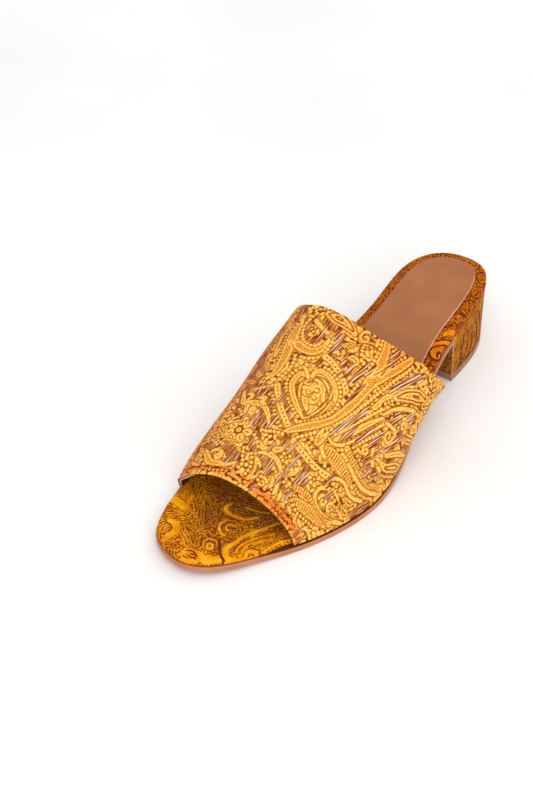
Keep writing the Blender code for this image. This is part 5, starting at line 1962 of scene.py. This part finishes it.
# %% The covered heel
HEEL_STATIONS = 110
BREAST_COLUMNS = 46
HEEL_ROWS = 54
HEEL_TUCK = 0.003
SEAM_OFFSET = 0.45  # mm of cloth from the breast's corner
BREAST_REACH = 24.6  # mm of cloth from the middle of the breast


def heel_foot(inward, height):
    """Lateral and medial points round the foot: a squared half ellipse behind the breast."""
    angle = np.linspace(0, math.pi / 2, HEEL_STATIONS + 1)
    power = 2 / HEEL_SQUARENESS
    front, back = -BREAST_FOOT + inward, -HEEL_BACK_TAPER - inward
    y = front + (back - front) * np.sin(angle) ** power
    z = np.full_like(y, height)
    half = (HEEL_FOOT_WIDTH / 2 - inward) * np.abs(np.cos(angle)) ** power
    return [np.stack((HEEL_FOOT_SHIFT + x, y, z), axis=1) for x in (half, -half)]


def heel_seat(inward, drop):
    """Lateral and medial points round the heel's top, under the footbed."""
    front = -BREAST_TOP + inward
    lateral_x, medial_x, y = edge_pairs(SEAT_MARGIN + inward, HEEL_STATIONS, front)
    z = bed_height(y) - drop
    return [np.stack((x, y, z), axis=1) for x in (lateral_x, medial_x)]


def heel_ring(sides):
    """Close lateral and medial points into a ring that starts in the middle of the breast."""
    lateral, medial = sides
    share = np.linspace(0, 1, BREAST_COLUMNS)[:, None]
    middle = (lateral[0] + medial[0]) / 2
    out = middle + (lateral[0] - middle) * share
    home = medial[0] + (middle - medial[0]) * share
    return np.concatenate((out, lateral[1:], medial[::-1][1:-1], home))


def heel_points():
    """Rows of rings from under the foot, up the wall, to under the seat."""
    low = TIP_THICKNESS + HAIR
    foot = heel_ring(heel_foot(0.0, low + HEEL_EDGE_ROUND))
    seat = heel_ring(heel_seat(0.0, HEEL_EDGE_ROUND))
    rows = [heel_ring(heel_foot(inward, low)) for inward in (HEEL_TUCK, HEEL_EDGE_ROUND)]
    rows += [foot + (seat - foot) * share for share in np.linspace(0, 1, HEEL_ROWS)]
    for inward, drop in ((HEEL_EDGE_ROUND, 0.0), (HEEL_TUCK, CLEARANCE)):
        rows.append(heel_ring(heel_seat(inward, drop)))
    return np.array(rows)


heel_grid = heel_points()
heel_across = lengths(heel_grid, 1) * 1000
heel_along = lengths(heel_grid, 0) * 1000
heel_chart = Chart(heel_across, heel_along)
HEEL_STROKES = (
    # kind, width, points: across from the middle of the breast and along from the foot
    ("line", 1.3, ((36.9, 20.7), (35, 14.1), (33.6, 7), (29.3, 4.1))),
    ("line", 1.3, ((41.7, 19.7), (40.8, 12.6), (37.8, 6.4), (33.5, 3.8))),
    ("line", 1.4, ((46.2, 19.6), (46.6, 12.1), (44.7, 5.8), (38.8, 3.5))),
    ("line", 1.4, ((50.8, 20.9), (53.5, 11.6), (52.7, 4.4), (45.6, 3.2))),
    ("line", 1.4, ((55.6, 22.6), (58.9, 13.3), (59.8, 5.2), (55, 3))),
    ("line", 1.4, ((60.6, 25.1), (63.8, 15.9), (64, 8.6))),
    ("dots", 1, ((34.4, 20.9), (33.7, 15), (32.4, 9.5), (30.4, 5.7))),
    ("dots", 1, ((39.1, 20.3), (37.9, 13.3), (35.5, 6.8), (31.5, 3.9))),
    ("dots", 1, ((44.2, 19.2), (43.4, 11.9), (41.2, 5.8), (36.3, 3.6))),
    ("dots", 1, ((48.9, 19.3), (50.1, 10.9), (48.6, 4.9), (42, 3.3))),
)
draw(heel_chart, HEEL_STROKES)
corner = (slice(2, -2), BREAST_COLUMNS - 1)
seam_line = np.stack((heel_across[corner] + SEAM_OFFSET, heel_along[corner]), axis=1)
heel_chart.stroke("silver", seam_line, 0.6)
from_breast = np.minimum(heel_across, heel_across[:, -1:] - heel_across)
# the breast's lines are denser: partly the pattern, partly painted shade on the breast
heel_dense_and_shade = np.where(from_breast < BREAST_REACH, 1.0, 0.60)
heel_drops = [
    ((1.6, 3.0, 1.6), ((at + 5.0, 26.0), (at + 3.0, 15.0), (at - 1.0, 4.0)), 0.9)
    for at in range(2, 176, 8)
]
heel_echo = ripples(heel_across, heel_along, heel_drops, heel_dense_and_shade)
HEEL_BROCADE = rippled_brocade(
    "heel_brocade_rayon", ("B25C00", "DA860A", "F0A012"), "501A02", "823E06", 2.2
)


def make_heel():
    """The block in its cover."""
    piece = wrapped_grid("heel_brocade", heel_grid, [HEEL_BROCADE], fill=True)
    cloth = np.dstack((heel_across, heel_along, np.zeros(heel_across.shape)))
    keep_values(piece, cloth=cloth, echo=heel_echo, **heel_chart.grids())
    settle(piece, "heel_block")


make_heel()

# %% [markdown]
# The outsole and the heel's wearing plate have the right shape already, so their solids
# stay. Only the finish changes: a dyed leather edge in a salmon tan, and brown moulded
# rubber, both a little scuffed.

# %% Outsole and heel tip
# the dark top is partly glue and partly painted shade of the gap under the vamp
SOLE_LEATHER = leather(
    "outsole_leather_dyed", ("AE6943", "BC7A52"), 0.5, grain=1500.0, mottle=90.0, top="5E2C12"
)
TIP_RUBBER = leather("tip_rubber_moulded", ("946248", "AA7658"), 0.55, grain=1500.0, mottle=120.0)
frame["nodes"]["outsole"].data.materials[0] = SOLE_LEATHER
frame["nodes"]["heel_tip"].data.materials[0] = TIP_RUBBER
print("finishes on solids:", SOLE_LEATHER.name, TIP_RUBBER.name)
